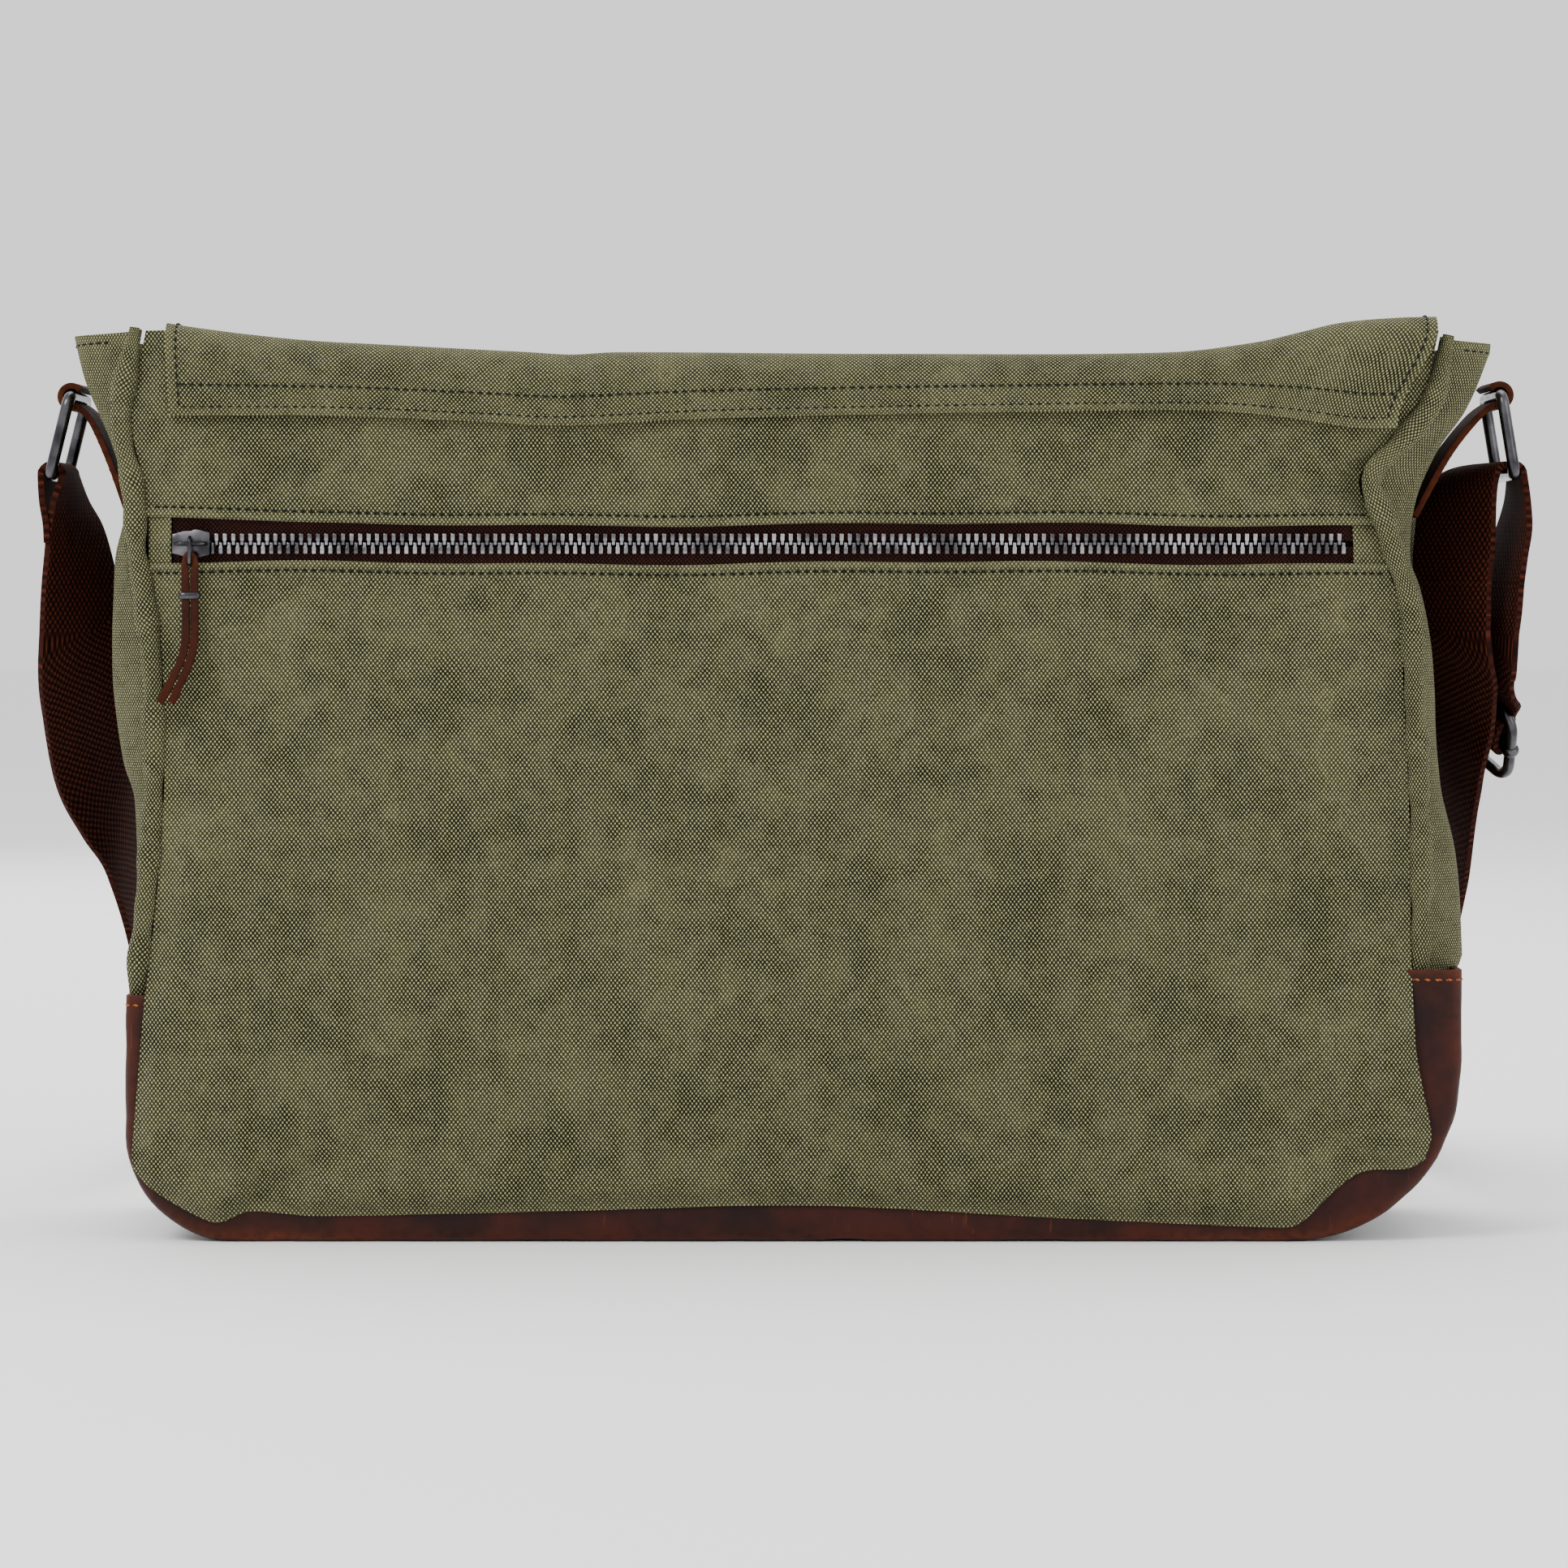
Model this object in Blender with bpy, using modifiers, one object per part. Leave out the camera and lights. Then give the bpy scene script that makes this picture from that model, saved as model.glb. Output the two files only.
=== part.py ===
"""Canvas messenger bag with a leather base, a back zip pocket, a lift-over flap and a webbing strap.

Metres, +Z up. The bag stands on z = 0 with the middle of its base at the origin. Its back, with the
zip, faces -Y, and the flap hangs down its front at +Y.
"""

import math

import bmesh
import bpy
from mathutils import Matrix, Vector

# Driving dimensions
BODY_DEPTH = 0.110
BASE_HALF_WIDTH = 0.210
BASE_HEIGHT_LEFT = 0.078
BASE_HEIGHT_RIGHT = 0.085
BASE_CORNER_RADIUS = 0.040
LEATHER = 0.0025
CANVAS = 0.0020
TAPER_PER_METRE = 0.6  # the bag gets thinner towards its top
GAP = 0.0003

ZIP_Z = 0.2190
ZIP_LEFT = -0.1950
ZIP_RIGHT = 0.1755
ZIP_WINDOW = 0.0120
TEETH_ROW = 0.0027
TEETH_GAP = 0.0010
SLIDER_LENGTH = 0.0117
SLIDER_HEIGHT = 0.0080

FLAP_LEFT = -0.1985
FLAP_RIGHT = 0.2020
FLAP_HINGE_Z = 0.2830
FLAP_LOWER_EDGE = 0.060
FLAP_CORNER_RADIUS = 0.035

WEBBING_WIDTH = 0.038
WEBBING = 0.0020
RING_WIRE = 0.0019
RING_HALF_WIDTH = 0.0225

BACK = -BODY_DEPTH / 2
FRONT = BODY_DEPTH / 2

# Seam lines as (x, z), from the bottom corner up
LEFT_BACK_SEAM = [
    (-0.2035, 0.074), (-0.1985, 0.132), (-0.1980, 0.176), (-0.2025, 0.213),
    (-0.2040, 0.236), (-0.2075, 0.256), (-0.2045, 0.276),
]
RIGHT_BACK_SEAM = [
    (0.1940, 0.084), (0.1935, 0.127), (0.1916, 0.176), (0.1895, 0.203),
    (0.1825, 0.226), (0.1795, 0.241), (0.1935, 0.256), (0.2010, 0.276),
]
FRONT_SEAM = [(0.2030, 0.078), (0.1985, 0.130), (0.1975, 0.180), (0.1985, 0.225), (0.2010, 0.262)]
LEFT_GUSSET = [
    (-0.2090, 0.0805), (-0.2085, 0.130), (-0.2125, 0.180), (-0.2100, 0.232),
    (-0.2160, 0.262), (-0.2185, 0.283),
]
RIGHT_GUSSET = [
    (0.2090, 0.0875), (0.2085, 0.120), (0.2040, 0.157), (0.2010, 0.190),
    (0.1965, 0.215), (0.1965, 0.234), (0.2050, 0.262), (0.2090, 0.279),
]

# Strap hardware as (x, z), at y = 0
LEFT_RING_TOP, LEFT_RING_BOTTOM = (-0.2300, 0.2660), (-0.2362, 0.2410)
RIGHT_RING_TOP, RIGHT_RING_BOTTOM = (0.2250, 0.2665), (0.2292, 0.2412)

# The strap's route: the middle of the webbing, and the angle of its width from +Y towards the bag
LEFT_ROUTE = [
    ((-0.2352, 0.000, 0.1960), 20), ((-0.2346, 0.002, 0.1890), 30), ((-0.2328, 0.014, 0.1730), 42),
    ((-0.2305, 0.034, 0.1500), 42), ((-0.2250, 0.060, 0.1220), 30), ((-0.2215, 0.088, 0.0900), 10),
    ((-0.2210, 0.120, 0.0580), 0), ((-0.2210, 0.160, 0.0330), 0), ((-0.2220, 0.205, 0.0225), 0),
    ((-0.2200, 0.250, 0.0200), 0),
]
ACROSS_ROUTE = [
    (-0.2200, 0.252), (-0.2120, 0.280), (-0.1900, 0.300), (-0.1500, 0.310), (-0.1000, 0.306),
    (-0.0500, 0.298), (0.0000, 0.296), (0.0500, 0.302), (0.1000, 0.311), (0.1500, 0.313),
    (0.1880, 0.303), (0.2110, 0.282), (0.2190, 0.252),
]
RIGHT_INNER_ROUTE = [
    ((0.2225, 0.000, 0.1960), 24), ((0.2218, 0.002, 0.1890), 26), ((0.2198, 0.012, 0.1780), 26),
    ((0.2192, 0.022, 0.1670), 24), ((0.2195, 0.034, 0.1530), 22), ((0.2195, 0.050, 0.1330), 18),
    ((0.2185, 0.074, 0.1060), 12), ((0.2180, 0.106, 0.0720), 4), ((0.2185, 0.150, 0.0400), 0),
    ((0.2190, 0.200, 0.0235), 0), ((0.2190, 0.250, 0.0200), 0),
]
RIGHT_OUTER_ROUTE = [
    ((0.2325, 0.000, 0.1960), 22), ((0.2320, 0.002, 0.1890), 24), ((0.2308, 0.008, 0.1830), 24),
    ((0.2298, 0.0135, 0.1765), 24),
]
STRAP_AXIS_Z = 0.1960
ADJUSTER_AT = Vector((0.2262, 0.0305, 0.1610))
ADJUSTER_DOWN = Vector((0.000, 0.600, -0.800))
ADJUSTER_TURN = 24


def tapered(point):
    """The bag's own taper: every y shrinks towards the top."""
    return Vector((point[0], point[1] * (1 - TAPER_PER_METRE * point[2]), point[2]))


def smooth(points, per_span=4):
    """Points on a Catmull-Rom curve through the given ones."""
    p = [Vector(q) for q in points]
    p = [2 * p[0] - p[1], *p, 2 * p[-1] - p[-2]]
    found = []
    for a, b, c, d in zip(p, p[1:], p[2:], p[3:]):
        for k in range(per_span):
            t = k / per_span
            found.append(
                0.5 * (2 * b + (c - a) * t + (2 * a - 5 * b + 4 * c - d) * t * t
                       + (3 * b - a - 3 * c + d) * t ** 3)
            )
    return [*found, p[-2]]


def arc(centre, radius, start, end, count):
    """Points round a circle, with the angles in degrees."""
    return [
        (
            centre[0] + radius * math.cos(math.radians(start + (end - start) * k / count)),
            centre[1] + radius * math.sin(math.radians(start + (end - start) * k / count)),
        )
        for k in range(count + 1)
    ]


def thickened(line, thickness):
    """The outline of a strip of this thickness along a line."""
    line = [Vector(p[:2]) for p in line]
    normals = []
    for k, here in enumerate(line):
        along = line[min(k + 1, len(line) - 1)] - line[max(k - 1, 0)]
        normals.append(Vector((-along.y, along.x)).normalized() * thickness / 2)
    return [p + n for p, n in zip(line, normals)] + [p - n for p, n in zip(line, normals)][::-1]


def start_scene():
    for obj in list(bpy.data.objects):
        bpy.data.objects.remove(obj, do_unlink=True)
    parts = bpy.data.collections.new("messenger_bag")
    cutters = bpy.data.collections.new("cutters")
    cutters.hide_render = True
    for collection in (parts, cutters):
        bpy.context.scene.collection.children.link(collection)
    return parts, cutters


PARTS, CUTTERS = start_scene()


def material(name, colour, roughness, metallic=0.0):
    made = bpy.data.materials.new(name)
    made.use_nodes = True
    shader = made.node_tree.nodes["Principled BSDF"]
    shader.inputs["Base Color"].default_value = (*colour, 1)
    shader.inputs["Roughness"].default_value = roughness
    shader.inputs["Metallic"].default_value = metallic
    made.diffuse_color = (*colour, 1)
    return made


CANVAS_CLOTH = material("canvas", (0.19, 0.19, 0.10), 0.9)
LINING_CLOTH = material("lining", (0.10, 0.09, 0.06), 0.9)
LEATHER_HIDE = material("leather", (0.075, 0.022, 0.012), 0.5)
WEBBING_CLOTH = material("webbing", (0.022, 0.007, 0.004), 0.85)
TAPE_CLOTH = material("zip_tape", (0.045, 0.020, 0.018), 0.85)
GUNMETAL = material("gunmetal", (0.12, 0.12, 0.125), 0.3, 1.0)
BOARD = material("fibreboard", (0.12, 0.09, 0.06), 0.8)


def pivot(name, at):
    """An empty on a joint's axis."""
    empty = bpy.data.objects.new(name, None)
    empty.location = at
    PARTS.objects.link(empty)
    bpy.context.view_layer.update()
    return empty


def place(name, bm, surface, parent=None, taper=False, collection=PARTS):
    """Makes the object of a finished bmesh whose points are in world space."""
    if taper:
        for v in bm.verts:
            v.co = tapered(v.co)
    bmesh.ops.recalc_face_normals(bm, faces=bm.faces)
    mesh = bpy.data.meshes.new(name)
    bm.to_mesh(mesh)
    bm.free()
    mesh.materials.append(surface)
    obj = bpy.data.objects.new(name, mesh)
    collection.objects.link(obj)
    if parent:
        obj.parent = parent
        obj.matrix_parent_inverse = parent.matrix_world.inverted()
    return obj


def curve_mesh(curve, frame):
    """The closed mesh of a curve, moved by a matrix, as a bmesh."""
    holder = bpy.data.objects.new("guide", curve)
    PARTS.objects.link(holder)
    bpy.context.view_layer.update()
    mesh = bpy.data.meshes.new_from_object(holder.evaluated_get(bpy.context.evaluated_depsgraph_get()))
    bm = bmesh.new()
    bm.from_mesh(mesh)
    bmesh.ops.remove_doubles(bm, verts=bm.verts, dist=1e-6)
    bmesh.ops.transform(bm, matrix=frame, verts=bm.verts)
    bpy.data.objects.remove(holder, do_unlink=True)
    bpy.data.curves.remove(curve)
    bpy.data.meshes.remove(mesh)
    return bm


def cut_out(outline, low, high, plane="XZ"):
    """A flat outline given a thickness, from low to high across its plane."""
    curve = bpy.data.curves.new("outline", "CURVE")
    curve.dimensions = "2D"
    curve.fill_mode = "BOTH"
    curve.extrude = (high - low) / 2
    spline = curve.splines.new("POLY")
    spline.points.add(len(outline) - 1)
    for point, at in zip(spline.points, outline):
        point.co = (at[0], at[1], 0, 1)
    spline.use_cyclic_u = True
    middle = (low + high) / 2
    frames = {
        "XZ": Matrix.Translation((0, middle, 0)) @ Matrix.Rotation(math.pi / 2, 4, "X"),
        "YZ": Matrix(((0, 0, 1, middle), (1, 0, 0, 0), (0, 1, 0, 0), (0, 0, 0, 1))),
        "XY": Matrix.Translation((0, 0, middle)),
    }
    return curve_mesh(curve, frames[plane])


def wire(points, radius, cyclic=False, resolution=2):
    """A round wire through the points."""
    curve = bpy.data.curves.new("wire", "CURVE")
    curve.dimensions = "3D"
    curve.bevel_depth = radius
    curve.bevel_resolution = resolution
    curve.use_fill_caps = True
    spline = curve.splines.new("POLY")
    spline.points.add(len(points) - 1)
    for point, at in zip(spline.points, points):
        point.co = (*at, 1)
    spline.use_cyclic_u = cyclic
    return curve_mesh(curve, Matrix.Identity(4))


def block(low, high):
    """A box between two corners."""
    bm = bmesh.new()
    bmesh.ops.create_cube(bm, size=1)
    low, high = Vector(low), Vector(high)
    bmesh.ops.scale(bm, vec=high - low, verts=bm.verts)
    bmesh.ops.translate(bm, vec=(low + high) / 2, verts=bm.verts)
    return bm


def disc(x, y, z, radius, thickness):
    """A round plate whose axis runs along Y."""
    bm = bmesh.new()
    bmesh.ops.create_cone(bm, cap_ends=True, segments=20, radius1=radius, radius2=radius, depth=thickness)
    bmesh.ops.rotate(bm, matrix=Matrix.Rotation(math.pi / 2, 3, "X"), verts=bm.verts)
    bmesh.ops.translate(bm, vec=(x, y, z), verts=bm.verts)
    return bm


def across(tangent, turn, side):
    """The width direction of the webbing: turned from +Y towards the bag, and square to its run."""
    turn = math.radians(turn)
    width = Vector((-side * math.sin(turn), math.cos(turn), 0))
    return (width - tangent * width.dot(tangent)).normalized()


def webbing(stations):
    """A flat band of webbing: its four corners carried from station to station."""
    bm = bmesh.new()
    last = None
    for at, width, normal in stations:
        corners = [
            at + width * WEBBING_WIDTH / 2 * a + normal * WEBBING / 2 * b
            for a, b in ((-1, -1), (1, -1), (1, 1), (-1, 1))
        ]
        ring = [bm.verts.new(c) for c in corners]
        if last is None:
            bm.faces.new(ring)
        else:
            for k in range(4):
                bm.faces.new((last[k], last[(k + 1) % 4], ring[(k + 1) % 4], ring[k]))
        last = ring
    bm.faces.new(last[::-1])
    return bm


def route_stations(route, side, per_span=3):
    points = smooth([at for at, _ in route], per_span)
    turns = [v.x for v in smooth([(turn, 0) for _, turn in route], per_span)]
    stations = []
    for k, at in enumerate(points):
        tangent = (points[min(k + 1, len(points) - 1)] - points[max(k - 1, 0)]).normalized()
        width = across(tangent, max(turns[k], 0.01), side)
        upright = Vector((0, 0, 1)) - tangent * tangent.z
        share = min(1, max(0, (0.120 - at.z) / 0.100))
        width = width.lerp(upright.normalized(), share).normalized()
        width = (width - tangent * width.dot(tangent)).normalized()
        stations.append((at, width, tangent.cross(width)))
    return stations


def make_base():
    left = [(-BASE_HALF_WIDTH, BASE_HEIGHT_LEFT)]
    right = [(BASE_HALF_WIDTH, BASE_HEIGHT_RIGHT)]
    x = BASE_HALF_WIDTH - BASE_CORNER_RADIUS
    r = BASE_CORNER_RADIUS
    outer = left + arc((-x, r), r, 180, 270, 8) + arc((x, r), r, 270, 360, 8) + right
    inner_r = r - LEATHER
    inner = (
        [(-BASE_HALF_WIDTH + LEATHER, BASE_HEIGHT_LEFT)]
        + arc((-x, r), inner_r, 180, 270, 8)
        + arc((x, r), inner_r, 270, 360, 8)
        + [(BASE_HALF_WIDTH - LEATHER, BASE_HEIGHT_RIGHT)]
    )
    place("leather_base", cut_out(outer + inner[::-1], BACK, FRONT), LEATHER_HIDE, taper=True)
    place("base_board", block((-0.165, BACK + 0.006, 0.0030), (0.165, FRONT - 0.006, 0.0055)), BOARD)


def lower_corners(inset):
    """The panel's bottom edge, just inside the base, from the left seam to the right one."""
    x = BASE_HALF_WIDTH - BASE_CORNER_RADIUS
    r = BASE_CORNER_RADIUS - LEATHER - inset
    return arc((-x, BASE_CORNER_RADIUS), r, 180, 270, 6) + arc((x, BASE_CORNER_RADIUS), r, 270, 360, 6)


def seam_between(seam, low, high):
    """The smooth seam's points between two heights, with both ends added."""
    line = smooth(seam, 3)
    inside = [(p.x, p.y) for p in line if low + 0.002 < p.y < high - 0.002]

    def at(height):
        for a, b in zip(line, line[1:]):
            if a.y <= height <= b.y:
                return (a.x + (b.x - a.x) * (height - a.y) / (b.y - a.y), height)
        return ((line[0] if height < line[0].y else line[-1]).x, height)

    return [at(low), *inside, at(high)]


def make_panels():
    inset = 0.0050
    zip_low = ZIP_Z - ZIP_WINDOW / 2
    zip_high = ZIP_Z + ZIP_WINDOW / 2
    left_low = seam_between(LEFT_BACK_SEAM, 0.082, zip_low)
    right_low = seam_between(RIGHT_BACK_SEAM, 0.086, zip_low)
    outline = lower_corners(inset) + right_low + left_low[::-1]
    place("back_pocket_panel", cut_out(outline, BACK, BACK + CANVAS), CANVAS_CLOTH, taper=True)
    left_up = seam_between(LEFT_BACK_SEAM, zip_high, 0.276)
    right_up = seam_between(RIGHT_BACK_SEAM, zip_high, 0.276)
    upper = cut_out(right_up + left_up[::-1], BACK, BACK + CANVAS)
    place("back_panel_upper", upper, CANVAS_CLOTH, taper=True)
    low, high = zip_low + GAP, zip_high - GAP
    for name, x0, x1 in (
        ("zip_end_patch_left", -0.2025, ZIP_LEFT - 0.0005),
        ("zip_end_patch_right", ZIP_RIGHT + 0.0003, 0.1835),
    ):
        place(name, block((x0, BACK, low), (x1, BACK + CANVAS, high)), CANVAS_CLOTH, taper=True)
    right = seam_between(FRONT_SEAM, 0.080, 0.262)
    outline = lower_corners(inset) + right + [(-x, z) for x, z in right[::-1]]
    place("front_panel", cut_out(outline, FRONT - CANVAS, FRONT), CANVAS_CLOTH, taper=True)


def make_gussets():
    half = BODY_DEPTH / 2 - 0.0075
    for name, line in (("gusset_left", LEFT_GUSSET), ("gusset_right", RIGHT_GUSSET)):
        outline = thickened(smooth(line, 3), CANVAS)
        place(name, cut_out(outline, -half, half), CANVAS_CLOTH, taper=True)


def make_corner_seams():
    """The rolled seams between the panels and the gussets."""
    radius = 0.0030
    y = BODY_DEPTH / 2 - radius
    seams = (
        ("corner_seam_back_left", LEFT_BACK_SEAM, -y, -0.0050),
        ("corner_seam_back_right", RIGHT_BACK_SEAM, -y, 0.0050),
        ("corner_seam_front_left", [(-a, z) for a, z in FRONT_SEAM], y, -0.0042),
        ("corner_seam_front_right", FRONT_SEAM, y, 0.0042),
    )
    for name, seam, depth, beside in seams:
        line = seam_between(seam, 0.092, 0.260 if depth > 0 else 0.274)
        points = [tapered((x + beside, depth, z)) for x, z in line]
        place(name, wire(points, radius), CANVAS_CLOTH)


def make_zip(slider_at):
    tape_y = BACK + CANVAS + 0.0005
    upper, lower = ZIP_Z + TEETH_GAP / 2, ZIP_Z - TEETH_GAP / 2
    left, right = -0.1935, ZIP_RIGHT - GAP
    for name, low, high in (
        ("zip_tape_upper", upper + TEETH_ROW + GAP, 0.2330),
        ("zip_tape_lower", 0.2050, lower - TEETH_ROW - GAP),
    ):
        tape = block((left, tape_y, low), (right + 0.0035, tape_y + 0.001, high))
        place(name, tape, TAPE_CLOTH, taper=True)
    middle = tape_y + 0.0005
    for name, low, high in (
        ("zip_teeth_upper", upper, upper + TEETH_ROW),
        ("zip_teeth_lower", lower - TEETH_ROW, lower),
    ):
        row = block((left, middle - 0.00125, low), (right, middle + 0.00125, high))
        place(name, row, GUNMETAL, taper=True)

    carrier = pivot("zip_slide_axis", tapered(slider_at))
    x0, x1 = slider_at[0] - SLIDER_LENGTH / 2, slider_at[0] + SLIDER_LENGTH / 2
    half, post = SLIDER_HEIGHT / 2, 0.00025
    front_face, front_back = BACK - 0.0006, BACK + 0.0010
    back_front, back_face = BACK + 0.0050, BACK + 0.0064
    profile = [
        (front_face, ZIP_Z - half), (front_back, ZIP_Z - half), (front_back, ZIP_Z - post),
        (back_front, ZIP_Z - post), (back_front, ZIP_Z - half), (back_face, ZIP_Z - half),
        (back_face, ZIP_Z + half), (back_front, ZIP_Z + half), (back_front, ZIP_Z + post),
        (front_back, ZIP_Z + post), (front_back, ZIP_Z + half), (front_face, ZIP_Z + half),
    ]
    slider = place("zip_slider", cut_out(profile, x0, x1, "YZ"), GUNMETAL, carrier, taper=True)
    x = slider_at[0]
    top = BACK - 0.0045
    bridge = [
        (x - 0.0045, front_face + 0.0004), (x - 0.0045, top), (x + 0.0045, top),
        (x + 0.0045, front_face + 0.0004), (x + 0.0025, front_face + 0.0004), (x + 0.0025, top + 0.0015),
        (x - 0.0025, top + 0.0015), (x - 0.0025, front_face + 0.0004),
    ]
    crown = place(
        "slider_crown", cut_out(bridge, ZIP_Z - 0.0009, ZIP_Z + 0.0009, "XY"), GUNMETAL, taper=True,
        collection=CUTTERS,
    )
    crown.hide_render = True
    crown.display_type = "WIRE"
    join = slider.modifiers.new("crown", "BOOLEAN")
    join.operation = "UNION"
    join.object = crown
    return carrier


def make_pull(carrier, slider_at):
    """A wire loop on the slider's crown, and a folded lace through the loop."""
    x = slider_at[0]
    bar_y = BACK - 0.00375
    ring_r, wire_r = 0.0020, 0.0006
    bar = tapered((x, bar_y, ZIP_Z))
    top, bottom = ZIP_Z + 0.0020 - ring_r, ZIP_Z - 0.0065 + ring_r
    loop = arc((bar.y, top), ring_r, 0, 180, 6) + arc((bar.y, bottom), ring_r, 180, 360, 6)
    swing = pivot("pull_ring_axis", bar)
    swing.parent = carrier
    swing.matrix_parent_inverse = carrier.matrix_world.inverted()
    bpy.context.view_layer.update()
    place("pull_ring", wire([(x, y, z) for y, z in loop], wire_r, True), GUNMETAL, swing)

    hook = Vector((x, bar.y, ZIP_Z - 0.0065))
    sway = pivot("pull_lace_axis", hook)
    sway.parent = swing
    sway.matrix_parent_inverse = swing.matrix_world.inverted()
    bpy.context.view_layer.update()
    inner, outer, foot = 0.0010, 0.0028, 0.1690
    outline = (
        [(x + outer, foot)] + arc((x, hook.z), outer, 0, 180, 8) + [(x - outer, foot)]
        + [(x - inner, foot)] + arc((x, hook.z), inner, 180, 0, 6) + [(x + inner, foot)]
    )
    place("pull_lace", cut_out(outline, hook.y - 0.0010, hook.y + 0.0010), LEATHER_HIDE, sway)
    z0, z1 = 0.2015, 0.2040
    sleeve = place(
        "pull_crimp",
        block((x - outer - 0.0009, hook.y - 0.0019, z0), (x + outer + 0.0009, hook.y + 0.0019, z1)),
        GUNMETAL, sway,
    )
    hole = place(
        "crimp_hole",
        block((x - outer - GAP, hook.y - 0.0013, z0 - 0.002), (x + outer + GAP, hook.y + 0.0013, z1 + 0.002)),
        GUNMETAL, collection=CUTTERS,
    )
    hole.hide_render = True
    hole.display_type = "WIRE"
    cut = sleeve.modifiers.new("hole", "BOOLEAN")
    cut.operation = "DIFFERENCE"
    cut.object = hole


def make_linings():
    pocket = block((-0.178, BACK + 0.0120, 0.0130), (0.176, BACK + 0.0128, 0.2480))
    place("back_pocket_lining", pocket, LINING_CLOTH, taper=True)
    bm = block((-0.184, BACK + 0.0136, 0.0068), (0.184, FRONT - 0.0036, 0.2580))
    lid = max(bm.faces, key=lambda face: face.calc_center_median().z)
    bmesh.ops.delete(bm, geom=[lid], context="FACES")
    box = place("main_lining", bm, LINING_CLOTH, taper=True)
    shell = box.modifiers.new("thickness", "SOLIDIFY")
    shell.thickness = 0.0008
    shell.offset = -1
    for name, y0, z0, z1 in (
        ("mouth_facing_front", FRONT - 0.0030, 0.2400, 0.2610),
        ("mouth_facing_back", BACK + 0.0023, 0.2420, 0.2750),
    ):
        strip = block((-0.176, y0, z0), (0.176, y0 + 0.0007, z1))
        place(name, strip, CANVAS_CLOTH, taper=True)


def make_flap():
    hem_y = BACK - 0.0025
    hinge = tapered((0, hem_y + 0.001, FLAP_HINGE_Z))
    hem = [(FLAP_LEFT, 0.2590), (0.1900, 0.2565), (FLAP_RIGHT - 0.0005, 0.2795), (FLAP_LEFT, 0.2795)]
    place("flap_hem", cut_out(hem, hem_y, hem_y + CANVAS), CANVAS_CLOTH, taper=True)
    lift = pivot("flap_lift_axis", hinge)
    front_y = FRONT + 0.0040
    top = block(
        (FLAP_LEFT, hem_y + 0.0015, FLAP_HINGE_Z - CANVAS / 2),
        (FLAP_RIGHT, front_y - GAP, FLAP_HINGE_Z + CANVAS / 2),
    )
    place("flap_top", top, CANVAS_CLOTH, lift, taper=True)
    unfold = pivot("flap_unfold_axis", tapered((0, front_y, FLAP_HINGE_Z)))
    unfold.parent = lift
    unfold.matrix_parent_inverse = lift.matrix_world.inverted()
    bpy.context.view_layer.update()

    def lower(left, right, edge, radius, height):
        corners = arc((left + radius, edge + radius), radius, 180, 270, 6)
        corners += arc((right - radius, edge + radius), radius, 270, 360, 6)
        return corners + [(right, height), (left, height)]

    outline = lower(FLAP_LEFT, FLAP_RIGHT, FLAP_LOWER_EDGE, FLAP_CORNER_RADIUS, FLAP_HINGE_Z - 0.0005)
    place("flap_front", cut_out(outline, front_y, front_y + CANVAS), CANVAS_CLOTH, unfold, taper=True)
    inside = 0.010
    outline = lower(
        FLAP_LEFT + inside, FLAP_RIGHT - inside, FLAP_LOWER_EDGE + inside, FLAP_CORNER_RADIUS - inside, 0.270,
    )
    lining = cut_out(outline, front_y - 0.0007, front_y - 0.0003)
    place("flap_lining", lining, LINING_CLOTH, unfold, taper=True)
    for name, x in (("left", -0.110), ("right", 0.110)):
        place(f"snap_socket_{name}", disc(x, FRONT + 0.00085, 0.094, 0.0090, 0.0011), GUNMETAL, taper=True)
        stud = disc(x, front_y - 0.0015, 0.094, 0.0090, 0.0010)
        place(f"snap_stud_{name}", stud, GUNMETAL, unfold, taper=True)


def ring_wire(top, bottom, half_width):
    """A rectangular wire ring with rounded corners, whose top and bottom bars run along Y."""
    down = Vector((bottom[0] - top[0], 0, bottom[1] - top[1]))
    length = down.length
    down.normalize()
    start = Vector((top[0], 0, top[1]))
    corner = 0.0030
    w, c = half_width, corner
    flat = (
        arc((w - c, length - c), c, 90, 0, 4) + arc((w - c, c), c, 0, -90, 4)
        + arc((-w + c, c), c, -90, -180, 4) + arc((-w + c, length - c), c, 180, 90, 4)
    )
    return [start + Vector((0, 1, 0)) * a + down * b for a, b in flat]


def make_hardware(side, top, bottom, tab_line, lap_start, lap_end):
    """One side's leather tab, its ring, and the webbing round the ring's lower bar."""
    name = "left" if side < 0 else "right"
    turn = 1 if side < 0 else -1
    loop = [(top[0] + turn * (p[0] - top[0]), p[1]) for p in arc(top, 0.0036, -60, -325, 12)]
    half = WEBBING_WIDTH / 2 - 0.0015
    tab = cut_out(thickened([*tab_line, *loop], 0.0018), -half, half)
    place(f"strap_tab_{name}", tab, LEATHER_HIDE)
    axis = pivot(f"ring_{name}_axis", (top[0], 0, top[1]))
    place(f"ring_{name}", wire(ring_wire(top, bottom, RING_HALF_WIDTH), RING_WIRE, True), GUNMETAL, axis)
    bend = arc(bottom, 0.0033, 180, 0, 8)
    if side > 0:
        bend = bend[::-1]
    lap = cut_out(thickened([*lap_start, *bend, *lap_end], WEBBING - 0.0002), -0.019, 0.019)
    place(f"strap_end_{name}", lap, WEBBING_CLOTH, axis)


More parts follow.
